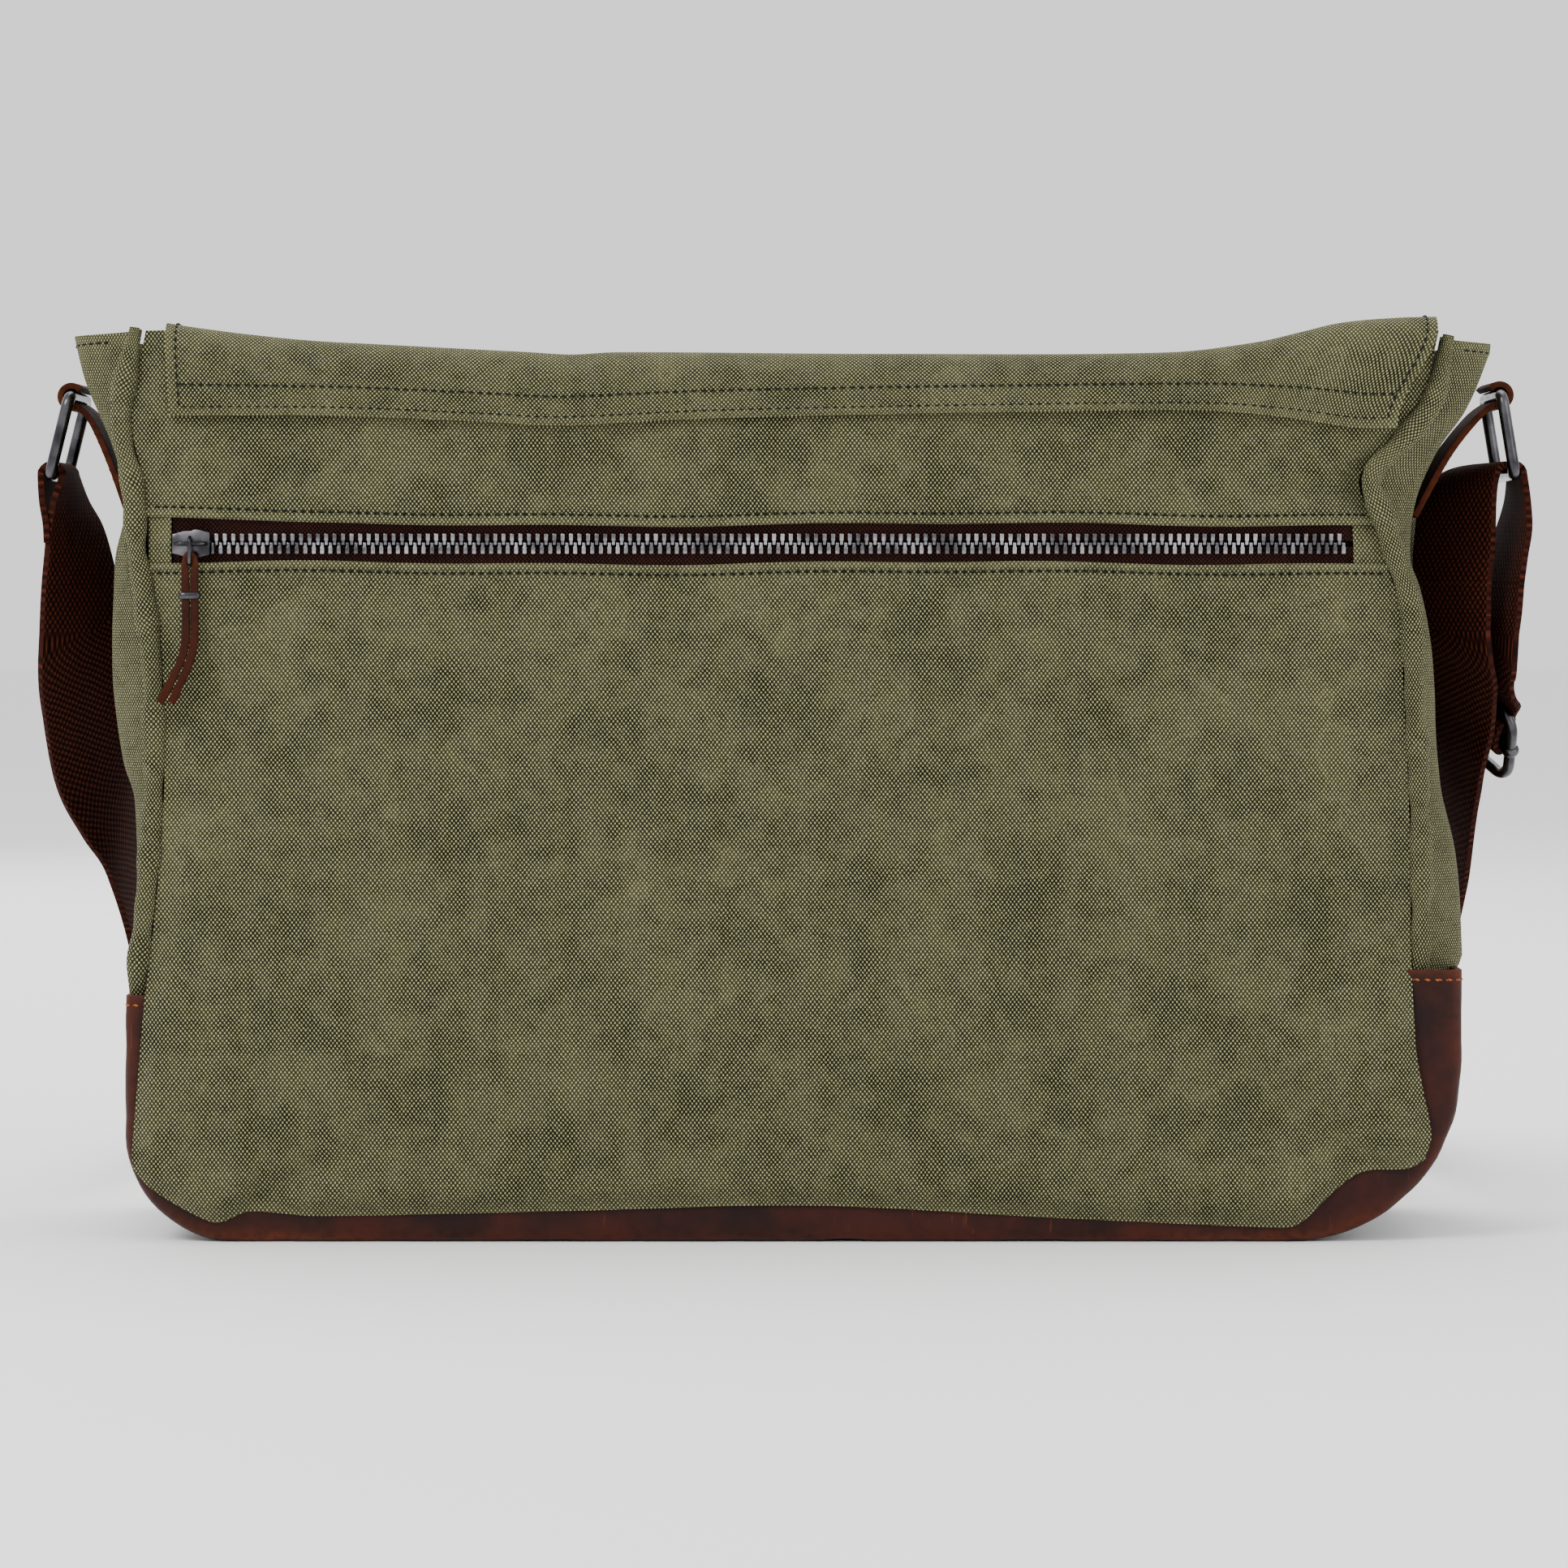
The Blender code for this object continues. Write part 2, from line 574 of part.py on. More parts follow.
def make_strap():
    axis = pivot("strap_swing_axis", (0, 0, STRAP_AXIS_Z))
    place("strap_left", webbing(route_stations(LEFT_ROUTE, -1)), WEBBING_CLOTH, axis)
    place("strap_right", webbing(route_stations(RIGHT_INNER_ROUTE, 1)), WEBBING_CLOTH, axis)
    line = smooth([(x, y, 0.0200) for x, y in ACROSS_ROUTE], 3)
    stations = []
    for k, at in enumerate(line):
        tangent = (line[min(k + 1, len(line) - 1)] - line[max(k - 1, 0)]).normalized()
        stations.append((at, Vector((0, 0, 1)), tangent.cross(Vector((0, 0, 1)))))
    place("strap_across", webbing(stations), WEBBING_CLOTH, axis)
    place("strap_return", webbing(route_stations(RIGHT_OUTER_ROUTE, 1, 2)), WEBBING_CLOTH, axis)
    return axis


def make_adjuster(strap_axis):
    """A wire frame with a middle bar, which holds the webbing's sewn end and slides on the strap."""
    down = ADJUSTER_DOWN.normalized()
    width = across(down, ADJUSTER_TURN, 1)
    out = down.cross(width)
    out = out if out.x > 0 else -out
    axis = pivot("adjuster_axis", ADJUSTER_AT)
    axis.parent = strap_axis
    axis.matrix_parent_inverse = strap_axis.matrix_world.inverted()
    bpy.context.view_layer.update()
    half_long, half_wide, corner = 0.0125, 0.0225, 0.0055
    flat = (
        arc((half_wide - corner, half_long - corner), corner, 90, 0, 4)
        + arc((half_wide - corner, -half_long + corner), corner, 0, -90, 4)
        + arc((-half_wide + corner, -half_long + corner), corner, -90, -180, 4)
        + arc((-half_wide + corner, half_long - corner), corner, 180, 90, 4)
    )
    loop = [ADJUSTER_AT + width * a + down * b for a, b in flat]
    place("adjuster_frame", wire(loop, RING_WIRE, True), GUNMETAL, axis)
    reach = half_wide - RING_WIRE - GAP
    bar = wire([ADJUSTER_AT - width * reach, ADJUSTER_AT + width * reach], 0.0016)
    place("adjuster_bar", bar, GUNMETAL, axis)
    bend = arc((0, 0), 0.0030, 0, -180, 8)
    profile = thickened([(0.0030, 0.0085), *bend, (-0.0030, 0.0085)], WEBBING - 0.0002)
    turned = Matrix.Identity(4)
    turned.col[0].xyz, turned.col[1].xyz, turned.col[2].xyz = out, width, -down
    bm = cut_out(profile, -0.019, 0.019)
    turned.translation = ADJUSTER_AT
    bmesh.ops.transform(bm, matrix=turned, verts=bm.verts)
    place("strap_end_adjuster", bm, WEBBING_CLOTH, axis)


def main():
    slider_at = (ZIP_LEFT + SLIDER_LENGTH / 2 + 0.0002, BACK, ZIP_Z)
    make_base()
    make_panels()
    make_gussets()
    make_corner_seams()
    make_pull(make_zip(slider_at), slider_at)
    make_linings()
    make_flap()
    make_hardware(
        -1, LEFT_RING_TOP, LEFT_RING_BOTTOM, [(-0.2132, 0.2300), (-0.2180, 0.2450), (-0.2236, 0.2580)],
        [(-0.2392, 0.2210), (-0.2395, 0.2330)], [(-0.2336, 0.2340), (-0.2365, 0.2170)],
    )
    make_hardware(
        1, RIGHT_RING_TOP, RIGHT_RING_BOTTOM, [(0.1990, 0.2290), (0.2085, 0.2470), (0.2178, 0.2590)],
        [(0.2340, 0.2170), (0.2330, 0.2330)], [(0.2256, 0.2340), (0.2245, 0.2170)],
    )
    make_adjuster(make_strap())


main()
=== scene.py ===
"""The looks of a canvas messenger bag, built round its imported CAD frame.

Metres, +Z up. The bag's zipped back faces -Y, and its flap hangs down the front at +Y.
"""

import math

import bmesh
import bpy
from mathutils import Matrix, Vector, noise


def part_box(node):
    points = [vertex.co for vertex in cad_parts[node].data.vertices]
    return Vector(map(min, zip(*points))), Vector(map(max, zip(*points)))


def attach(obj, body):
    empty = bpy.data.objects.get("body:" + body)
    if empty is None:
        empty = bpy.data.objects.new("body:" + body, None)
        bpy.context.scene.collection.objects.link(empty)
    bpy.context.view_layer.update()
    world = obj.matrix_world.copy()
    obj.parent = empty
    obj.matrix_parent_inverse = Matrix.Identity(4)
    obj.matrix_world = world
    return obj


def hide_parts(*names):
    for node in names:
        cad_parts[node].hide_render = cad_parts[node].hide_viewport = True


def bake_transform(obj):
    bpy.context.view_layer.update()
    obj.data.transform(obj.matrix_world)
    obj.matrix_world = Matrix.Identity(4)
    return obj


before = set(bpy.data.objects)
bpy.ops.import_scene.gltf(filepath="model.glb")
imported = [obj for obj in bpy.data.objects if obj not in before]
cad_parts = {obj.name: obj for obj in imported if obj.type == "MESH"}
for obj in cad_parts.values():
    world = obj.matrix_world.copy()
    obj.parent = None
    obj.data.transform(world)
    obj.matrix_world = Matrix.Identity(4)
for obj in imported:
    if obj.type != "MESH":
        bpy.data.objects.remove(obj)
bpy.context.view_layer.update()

MM = 0.001
BODY_HALF_DEPTH = 55 * MM
TAPER_PER_METRE = 0.6
FLAP_HINGE_Z = 283 * MM
ZIP_Z = 219 * MM
ZIP_HALF_WINDOW = 6 * MM
CANVAS_THICK = 1.3 * MM
LEATHER_THICK = 2.2 * MM
WEBBING_WIDTH = 38 * MM
WEBBING_THICK = 2.0 * MM
RING_WIRE = 1.9 * MM
BASE_HALF = 210 * MM
BASE_RADIUS_LEFT, BASE_RADIUS_RIGHT = 34 * MM, 54 * MM

# The back's seams as (height, x), from the bottom up
LEFT_SEAM = [
    (0.0225, -0.2070), (0.030, -0.2072), (0.050, -0.2056), (0.074, -0.2036), (0.132, -0.1982),
    (0.176, -0.1980), (0.206, -0.2012), (0.2180, -0.2032), (0.236, -0.2040), (0.2515, -0.2075),
    (0.263, -0.2078), (0.286, -0.2036),
]
RIGHT_SEAM = [
    (0.0262, 0.1978), (0.0338, 0.1998), (0.048, 0.1972), (0.061, 0.1950), (0.084, 0.1940), (0.127, 0.1937),
    (0.176, 0.1916), (0.200, 0.1904), (0.2105, 0.1870), (0.226, 0.1825), (0.2400, 0.1782), (0.250, 0.1865),
    (0.263, 0.1970), (0.286, 0.2028),
]
FRONT_SEAM = [
    (0.016, 0.2010), (0.078, 0.2030), (0.130, 0.1985), (0.180, 0.1975), (0.225, 0.1985),
    (0.280, 0.2030),
]
# The gussets' fullest line as (height, x), and their middle, where the strap tab is sewn
LEFT_BULGE = [
    (0.074, -0.2098), (0.095, -0.2090), (0.138, -0.2090), (0.150, -0.2125), (0.176, -0.2155),
    (0.2135, -0.2145), (0.232, -0.2108), (0.250, -0.2150), (0.270, -0.2232), (0.286, -0.2275),
]
RIGHT_BULGE = [
    (0.080, 0.2118), (0.120, 0.2100), (0.144, 0.2052), (0.183, 0.2025), (0.196, 0.2008), (0.206, 0.1985),
    (0.2145, 0.1955), (0.234, 0.1975), (0.249, 0.2042), (0.262, 0.2130), (0.282, 0.2210),
]
LEFT_MIDDLE = [
    (0.074, -0.2100), (0.130, -0.2085), (0.180, -0.2125), (0.232, -0.2100), (0.262, -0.2160),
    (0.286, -0.2185),
]
RIGHT_MIDDLE = [
    (0.080, 0.2100), (0.120, 0.2085), (0.157, 0.2040), (0.190, 0.2010), (0.215, 0.1965),
    (0.234, 0.1965), (0.262, 0.2050), (0.282, 0.2090),
]
# The canvas back's lower edge and the flap's hem and ridge, as (x, height)
LOWER_EDGE = [
    (-0.2070, 0.0225), (-0.200, 0.0160), (-0.186, 0.0080), (-0.180, 0.0064), (-0.171, 0.0097),
    (-0.150, 0.0084), (-0.070, 0.0100), (0.005, 0.0117), (0.082, 0.0078), (0.150, 0.0048),
    (0.1566, 0.0052), (0.1615, 0.0084), (0.1678, 0.0148), (0.1758, 0.0211), (0.1806, 0.0227),
    (0.1930, 0.0235), (0.1978, 0.0262),
]
HEM_EDGE = [
    (-0.1955, 0.2590), (-0.144, 0.2590), (-0.095, 0.2570), (-0.074, 0.2560), (-0.030, 0.2580),
    (0.005, 0.2590), (0.070, 0.2602), (0.129, 0.2606), (0.160, 0.2585), (0.176, 0.2567),
    (0.188, 0.2552),
]
RIDGE = [
    (-0.197, 0.2885), (-0.189, 0.2872), (-0.172, 0.2850), (-0.152, 0.2830), (-0.128, 0.2817),
    (-0.084, 0.2794), (-0.070, 0.2786), (-0.056, 0.2793), (0.030, 0.2788), (0.118, 0.2793),
    (0.146, 0.2825), (0.159, 0.2855), (0.172, 0.2886), (0.190, 0.2902), (0.202, 0.2905),
]
# Folds pressed into the back: start, end, width, depth (positive goes in)
BACK_FOLDS = [
    ((-0.160, 0.206), (-0.184, 0.168), 7 * MM, 3.0 * MM),
    ((-0.148, 0.204), (-0.168, 0.168), 8 * MM, -0.6 * MM),
    ((-0.168, 0.014), (-0.130, 0.032), 5 * MM, 3.8 * MM),
    ((-0.182, 0.014), (-0.170, 0.034), 7 * MM, -2.4 * MM),
    ((-0.197, 0.024), (-0.190, 0.056), 8 * MM, -1.6 * MM),
    ((0.177, 0.026), (0.150, 0.050), 6 * MM, 4.2 * MM),
    ((0.191, 0.034), (0.186, 0.064), 8 * MM, -2.4 * MM),
    ((0.156, 0.014), (0.118, 0.020), 9 * MM, -2.0 * MM),
    ((0.182, 0.232), (0.158, 0.242), 8 * MM, 5.0 * MM),
    ((0.176, 0.244), (0.145, 0.247), 9 * MM, 2.0 * MM),
    ((0.164, 0.228), (0.130, 0.236), 8 * MM, -2.0 * MM),
    ((-0.120, 0.250), (-0.095, 0.230), 8 * MM, 0.7 * MM),
    ((-0.055, 0.252), (-0.035, 0.230), 9 * MM, 0.7 * MM),
    ((-0.010, 0.254), (0.004, 0.232), 9 * MM, -0.5 * MM),
    ((-0.100, 0.120), (-0.040, 0.060), 26 * MM, 1.5 * MM),
    ((0.060, 0.150), (0.120, 0.110), 30 * MM, 1.4 * MM),
    ((0.020, 0.060), (0.110, 0.040), 22 * MM, -1.2 * MM),
]
# The strap's middle from below each ring to the floor, as (point, turn of its width in degrees)
LEFT_RUN = [
    ((-0.2302, 0.000, 0.2170), 24), ((-0.2296, 0.000, 0.2065), 30), ((-0.2297, 0.000, 0.1960), 32),
    ((-0.2297, 0.003, 0.1870), 34), ((-0.2290, 0.014, 0.1730), 36), ((-0.2274, 0.034, 0.1500), 36),
    ((-0.2245, 0.048, 0.1350), 24), ((-0.2218, 0.062, 0.1200), 10), ((-0.2208, 0.088, 0.0920), 0),
    ((-0.2208, 0.120, 0.0600), 0), ((-0.2212, 0.160, 0.0345), 0), ((-0.2220, 0.205, 0.0225), 0),
    ((-0.2205, 0.248, 0.0200), 0),
]
RIGHT_RUN = [
    ((0.2125, 0.000, 0.2170), 34), ((0.2110, 0.000, 0.2065), 36), ((0.2116, 0.000, 0.1960), 33),
    ((0.2124, 0.003, 0.1870), 30), ((0.2140, 0.012, 0.1770), 28), ((0.2155, 0.024, 0.1640), 24),
    ((0.2152, 0.036, 0.1500), 22), ((0.2152, 0.052, 0.1310), 18), ((0.2164, 0.076, 0.1050), 12),
    ((0.2180, 0.108, 0.0705), 4), ((0.2185, 0.150, 0.0400), 0), ((0.2190, 0.200, 0.0235), 0),
    ((0.2190, 0.248, 0.0200), 0),
]
# Its outer layer from the right ring down to the adjuster, in the same way
RIGHT_OUTER = [
    ((0.2292, 0.000, 0.2150), 12), ((0.2272, 0.000, 0.2065), 15), ((0.2256, 0.001, 0.1960), 18),
    ((0.2244, 0.006, 0.1870), 20), ((0.2234, 0.013, 0.1790), 22),
]
# Its lie across the floor in front of the bag, as (x, y)
ACROSS_ROUTE = [
    (-0.2200, 0.252), (-0.2120, 0.280), (-0.1900, 0.300), (-0.1500, 0.310), (-0.1000, 0.306),
    (-0.0500, 0.298), (0.0000, 0.296), (0.0500, 0.302), (0.1000, 0.311), (0.1500, 0.313),
    (0.1880, 0.303), (0.2110, 0.282), (0.2190, 0.252),
]
# The flap's cloth as it was cut: its width, its run up the back and over, and its run down the front
FLAP_WIDTH, FLAP_BACK_RUN, FLAP_FRONT_RUN = 399 * MM, 78 * MM, 275 * MM
# Below this height the webbing is in the piece that stands for the swinging strap
HOLD_Z = 0.2065
# The adjuster's middle, the way that it slides, and the turn of its width in degrees
ADJUSTER_AT = Vector((0.2212, 0.0305, 0.1640))
ADJUSTER_DOWN = Vector((0, 0.6, -0.8))
ADJUSTER_TURN = 26
# Where the flap's cloth bends, as start and end points
LIFT_START, LIFT_END = (0, -0.0500, 0.2740), (0, -0.0360, 0.2860)
UNFOLD_START, UNFOLD_END = (0, 0.0380, 0.2860), (0, 0.0520, 0.2740)


def taper(z):
    """How much of its full depth the bag still has at a height."""
    return 1 - TAPER_PER_METRE * z


def through(points, t):
    """The value at t of a smooth curve through (t, value) pairs."""
    if t <= points[0][0]:
        return points[0][1]
    if t >= points[-1][0]:
        return points[-1][1]
    k = next(k for k in range(1, len(points)) if t <= points[k][0])
    before, a, b = points[max(k - 2, 0)], points[k - 1], points[k]
    after = points[min(k + 1, len(points) - 1)]
    span = b[0] - a[0]
    slope_a = (b[1] - before[1]) / (b[0] - before[0]) * span
    slope_b = (after[1] - a[1]) / (after[0] - a[0]) * span
    s = (t - a[0]) / span
    return (
        a[1] * (1 + 2 * s) * (1 - s) ** 2 + slope_a * s * (1 - s) ** 2
        + b[1] * s * s * (3 - 2 * s) + slope_b * s * s * (s - 1)
    )


def smoothstep(low, high, t):
    """An eased step from 0 at low to 1 at high."""
    s = min(1, max(0, (t - low) / (high - low)))
    return s * s * (3 - 2 * s)


def spline(points, per_span=8):
    """Points on a Catmull-Rom curve through the given ones."""
    p = [Vector(q) for q in points]
    p = [2 * p[0] - p[1], *p, 2 * p[-1] - p[-2]]
    found = []
    for a, b, c, d in zip(p, p[1:], p[2:], p[3:]):
        for k in range(per_span):
            t = k / per_span
            found.append(
                0.5 * (2 * b + (c - a) * t + (2 * a - 5 * b + 4 * c - d) * t * t
                       + (3 * b - a - 3 * c + d) * t ** 3)
            )
    return [*found, p[-2]]


def along(points, share):
    """The point that lies this share of the way along a line of points."""
    lengths = [0.0]
    for a, b in zip(points, points[1:]):
        lengths.append(lengths[-1] + (b - a).length)
    target = min(max(share, 0), 1) * lengths[-1]
    for k in range(1, len(points)):
        if target <= lengths[k] or k == len(points) - 1:
            run = lengths[k] - lengths[k - 1]
            return points[k - 1].lerp(points[k], (target - lengths[k - 1]) / run if run else 0)
    return points[-1]


def run_of(points):
    """The length of a line of points."""
    return sum((b - a).length for a, b in zip(points, points[1:]))


def arc(centre, radius, start, end, count):
    """Points round a circle, with the angles in degrees."""
    turn = [math.radians(start + (end - start) * k / count) for k in range(count + 1)]
    return [(centre[0] + radius * math.cos(a), centre[1] + radius * math.sin(a)) for a in turn]


def fold_depth(x, z, folds):
    """How far the folds press the cloth in at a place, fading along each fold."""
    total = 0.0
    here = Vector((x, z))
    for start, end, width, depth in folds:
        a, b = Vector(start), Vector(end)
        share = min(1, max(0, (here - a).dot(b - a) / (b - a).length_squared))
        away = (here - a.lerp(b, share)).length
        total += depth * math.exp(-((away / width) ** 2)) * (1 - 0.6 * share)
    return total


def cloth_noise(x, z, seed):
    """Slack that cloth keeps: broad swells and smaller ripples."""
    broad = noise.noise(Vector((x / 0.070, z / 0.055, seed)))
    fine = noise.noise(Vector((x / 0.022, z / 0.018, seed + 7)))
    return 1.4 * MM * broad + 0.45 * MM * fine


def back_y(x, z):
    """The outer face of the canvas back at a place on it."""
    base = -BODY_HALF_DEPTH * taper(z)
    near_zip = math.exp(-(((z - ZIP_Z) / (11 * MM)) ** 2))
    swell = max(0.0, math.sin(math.pi * min(1, max(0, (z - 0.008) / 0.200)))) ** 0.7
    across = max(0.0, math.cos(math.pi * (x + 0.004) / 0.420)) ** 0.5
    y = base - 4.0 * MM * swell * across * (1 - near_zip)
    from_left, from_right = x - through(LEFT_SEAM, z), through(RIGHT_SEAM, z) - x
    side = max(0.0, min(from_left, from_right))
    sewn = smoothstep(0.070, 0.094, z)
    y += 4.5 * MM * sewn * math.exp(-((side / (6.5 * MM)) ** 2))
    edge = min(side, max(0.0, z - through(LOWER_EDGE, x)))
    puffed = 4.2 * MM * (1 - math.exp(-((edge / (4.2 * MM)) ** 2))) * math.exp(-edge / 0.045)
    y -= (1 - sewn) * (0.6 * MM + puffed)
    y += fold_depth(x, z, BACK_FOLDS) * (1 - 0.8 * near_zip)
    y += cloth_noise(x, z, 3) * (1 - 0.9 * near_zip) * smoothstep(0, 6 * MM, edge + 30 * MM * sewn)
    return y if sewn > 0 else min(y, base - 0.6 * MM)


def front_y(x, z):
    """The outer face of the canvas front."""
    y = BODY_HALF_DEPTH * taper(z)
    inside = max(0.0, through(FRONT_SEAM, z) - abs(x))
    y -= 6.0 * MM * math.exp(-((inside / (8 * MM)) ** 2))
    y -= 3.5 * MM * math.exp(-((max(0.0, z - 9 * MM) / (7 * MM)) ** 2))
    return y + 0.6 * cloth_noise(x, z, 21)


def linear(hex_colour):
    """An sRGB hex colour as the linear values that a shader takes."""
    parts = [int(hex_colour[k:k + 2], 16) / 255 for k in (1, 3, 5)]
    return tuple(p / 12.92 if p <= 0.04045 else ((p + 0.055) / 1.055) ** 2.4 for p in parts) + (1.0,)


def add(tree, kind, inputs=(), out=0, **settings):
    """A node with its settings, and its inputs as values or as sockets to link. Gives one of its outputs."""
    made = tree.nodes.new("ShaderNode" + kind)
    for name, value in settings.items():
        setattr(made, name, value)
    for key, value in inputs.items() if isinstance(inputs, dict) else enumerate(inputs):
        if isinstance(value, bpy.types.NodeSocket):
            tree.links.new(value, made.inputs[key])
        else:
            made.inputs[key].default_value = value
    return made.outputs[out]


# Settings that many nodes share
SMOOTH = {"interpolation_type": "SMOOTHSTEP"}
COLOUR = {"out": 2, "data_type": "RGBA"}


def new_material(name, **values):
    """A material and its tree and shader, with plain values set on the shader's own sockets."""
    made = bpy.data.materials.new(name)
    made.use_nodes = True
    tree = made.node_tree
    shader = tree.nodes["Principled BSDF"]
    for key, value in values.items():
        shader.inputs[key.replace("_", " ")].default_value = value
    return made, tree, shader


def interlacing(tree, pitch, row, wander):
    """A plain weave on the piece's own cloth map: raised yarns in half-stepped rows, from 0 to 1."""
    mapped = add(tree, "UVMap", uv_map="cloth")
    drift = add(tree, "TexNoise", {"Vector": mapped, "Scale": 1 / (9 * MM), "Detail": 2.0}, 1)
    shift = add(tree, "VectorMath", (drift, (wander, wander, 0)), operation="MULTIPLY")
    moved = add(tree, "VectorMath", (mapped, shift), operation="ADD")
    across = add(tree, "SeparateXYZ", (moved,))
    along_it = add(tree, "SeparateXYZ", (moved,), 1)
    over_turn = add(tree, "Math", (across, 2 * math.pi / pitch), operation="MULTIPLY")
    under_turn = add(tree, "Math", (along_it, math.pi / row), operation="MULTIPLY")
    over = add(tree, "Math", (over_turn,), operation="COSINE")
    under = add(tree, "Math", (under_turn,), operation="COSINE")
    crossing = add(tree, "Math", (over, under), operation="MULTIPLY")
    return mapped, add(tree, "Math", (crossing, 0.5, 0.5), operation="MULTIPLY_ADD")


def woven(name, gap_shade, yarn, light, pitch, row, faded, bump=0.5, sheen=0.12, fade_size=30 * MM, rough=0.92):
    """Yarn-dyed cloth: painted shade in the gaps, dyed yarn, crowns pale from wear and from a painted
    highlight, a cloudy worn fading and painted highlights along fine creases.
    """
    made, tree, shader = new_material(name, Roughness=rough, Sheen_Weight=sheen, Specular_IOR_Level=0.08)
    shader.inputs["Sheen Roughness"].default_value = 0.6
    mapped, height = interlacing(tree, pitch, row, 0.9 * MM)

    fleck = add(
        tree, "TexNoise", {"Vector": mapped, "Scale": 1 / (0.9 * MM), "Detail": 2.0, "Roughness": 0.7}
    )
    fleck = add(tree, "Math", (fleck, 0.6, -0.30), operation="MULTIPLY_ADD")
    raised = add(tree, "Math", (height, fleck), operation="ADD")
    # Painted shade and highlight: the gap colour darkens the hollows between the yarns, and the crown colour
    # is partly washed-out wear and partly a painted highlight on their tops.
    on_yarn = add(tree, "MapRange", (raised, 0.20, 0.58, 0.0, 1.0), **SMOOTH)
    on_crown = add(tree, "MapRange", (raised, 0.56, 0.98, 0.0, 1.0), **SMOOTH)
    colour = add(tree, "Mix", {0: on_yarn, 6: linear(gap_shade), 7: linear(yarn)}, **COLOUR)
    colour = add(tree, "Mix", {0: on_crown, 6: colour, 7: linear(light)}, **COLOUR)

    broad = add(tree, "TexNoise", {"Vector": mapped, "Scale": 1 / fade_size, "Detail": 4.0, "Roughness": 0.6})
    patchy = add(
        tree, "TexNoise", {"Vector": mapped, "Scale": 5 / fade_size, "Detail": 3.0, "Roughness": 0.55}
    )
    patchy = add(tree, "Math", (patchy, 0.4), operation="MULTIPLY")
    cloud = add(tree, "Math", (broad, 0.6, patchy), operation="MULTIPLY_ADD")

    # Thin pale lines where the broad cloud is middling: painted highlights that stand in for light on fine
    # creases.
    lines = add(
        tree, "TexNoise", {"Vector": mapped, "Scale": 0.5 / fade_size, "Detail": 3.0, "Roughness": 0.5}
    )
    lines = add(tree, "Math", (lines, 0.5), operation="SUBTRACT")
    lines = add(tree, "Math", (lines,), operation="ABSOLUTE")
    on_line = add(tree, "MapRange", (lines, 0.0, 0.012, 1.0, 0.0), **SMOOTH)
    where = add(tree, "MapRange", (broad, 0.42, 0.62, 0.0, 1.0), **SMOOTH)
    crease_highlight = add(tree, "Math", (on_line, where), operation="MULTIPLY")

    wear = add(tree, "Attribute", out=2, attribute_name="wear")
    cloudy = add(tree, "MapRange", (cloud, 0.36, 0.66, 0.0, 1.0), **SMOOTH)
    fade_and_crease_highlight = add(tree, "Math", (wear, 0.9, cloudy), operation="MULTIPLY_ADD")
    fade_and_crease_highlight = add(tree, "Math", (crease_highlight, 0.5, fade_and_crease_highlight), operation="MULTIPLY_ADD")
    fade_and_crease_highlight = add(tree, "Math", (fade_and_crease_highlight, 1.6), operation="MINIMUM")
    fade_and_crease_highlight = add(tree, "Math", (fade_and_crease_highlight, faded), operation="MULTIPLY")
    # Lightens towards the pale colour by wear, by cloudy fading and by the painted crease highlights.
    colour = add(tree, "Mix", {0: fade_and_crease_highlight, 6: colour, 7: linear(light)}, **COLOUR)
    dull = add(tree, "MapRange", (cloud, 0.32, 0.52, 0.0, 1.0), **SMOOTH)
    shade = add(tree, "Mix", {0: dull, 6: (0.88, 0.87, 0.86, 1), 7: (1, 1, 1, 1)}, **COLOUR)
    colour = add(tree, "Mix", {0: 1.0, 6: colour, 7: shade}, blend_type="MULTIPLY", **COLOUR)
    tree.links.new(colour, shader.inputs["Base Color"])
    relief = add(tree, "Bump", {"Height": raised, "Strength": bump, "Distance": 0.35 * MM})
    tree.links.new(relief, shader.inputs["Normal"])
    return made


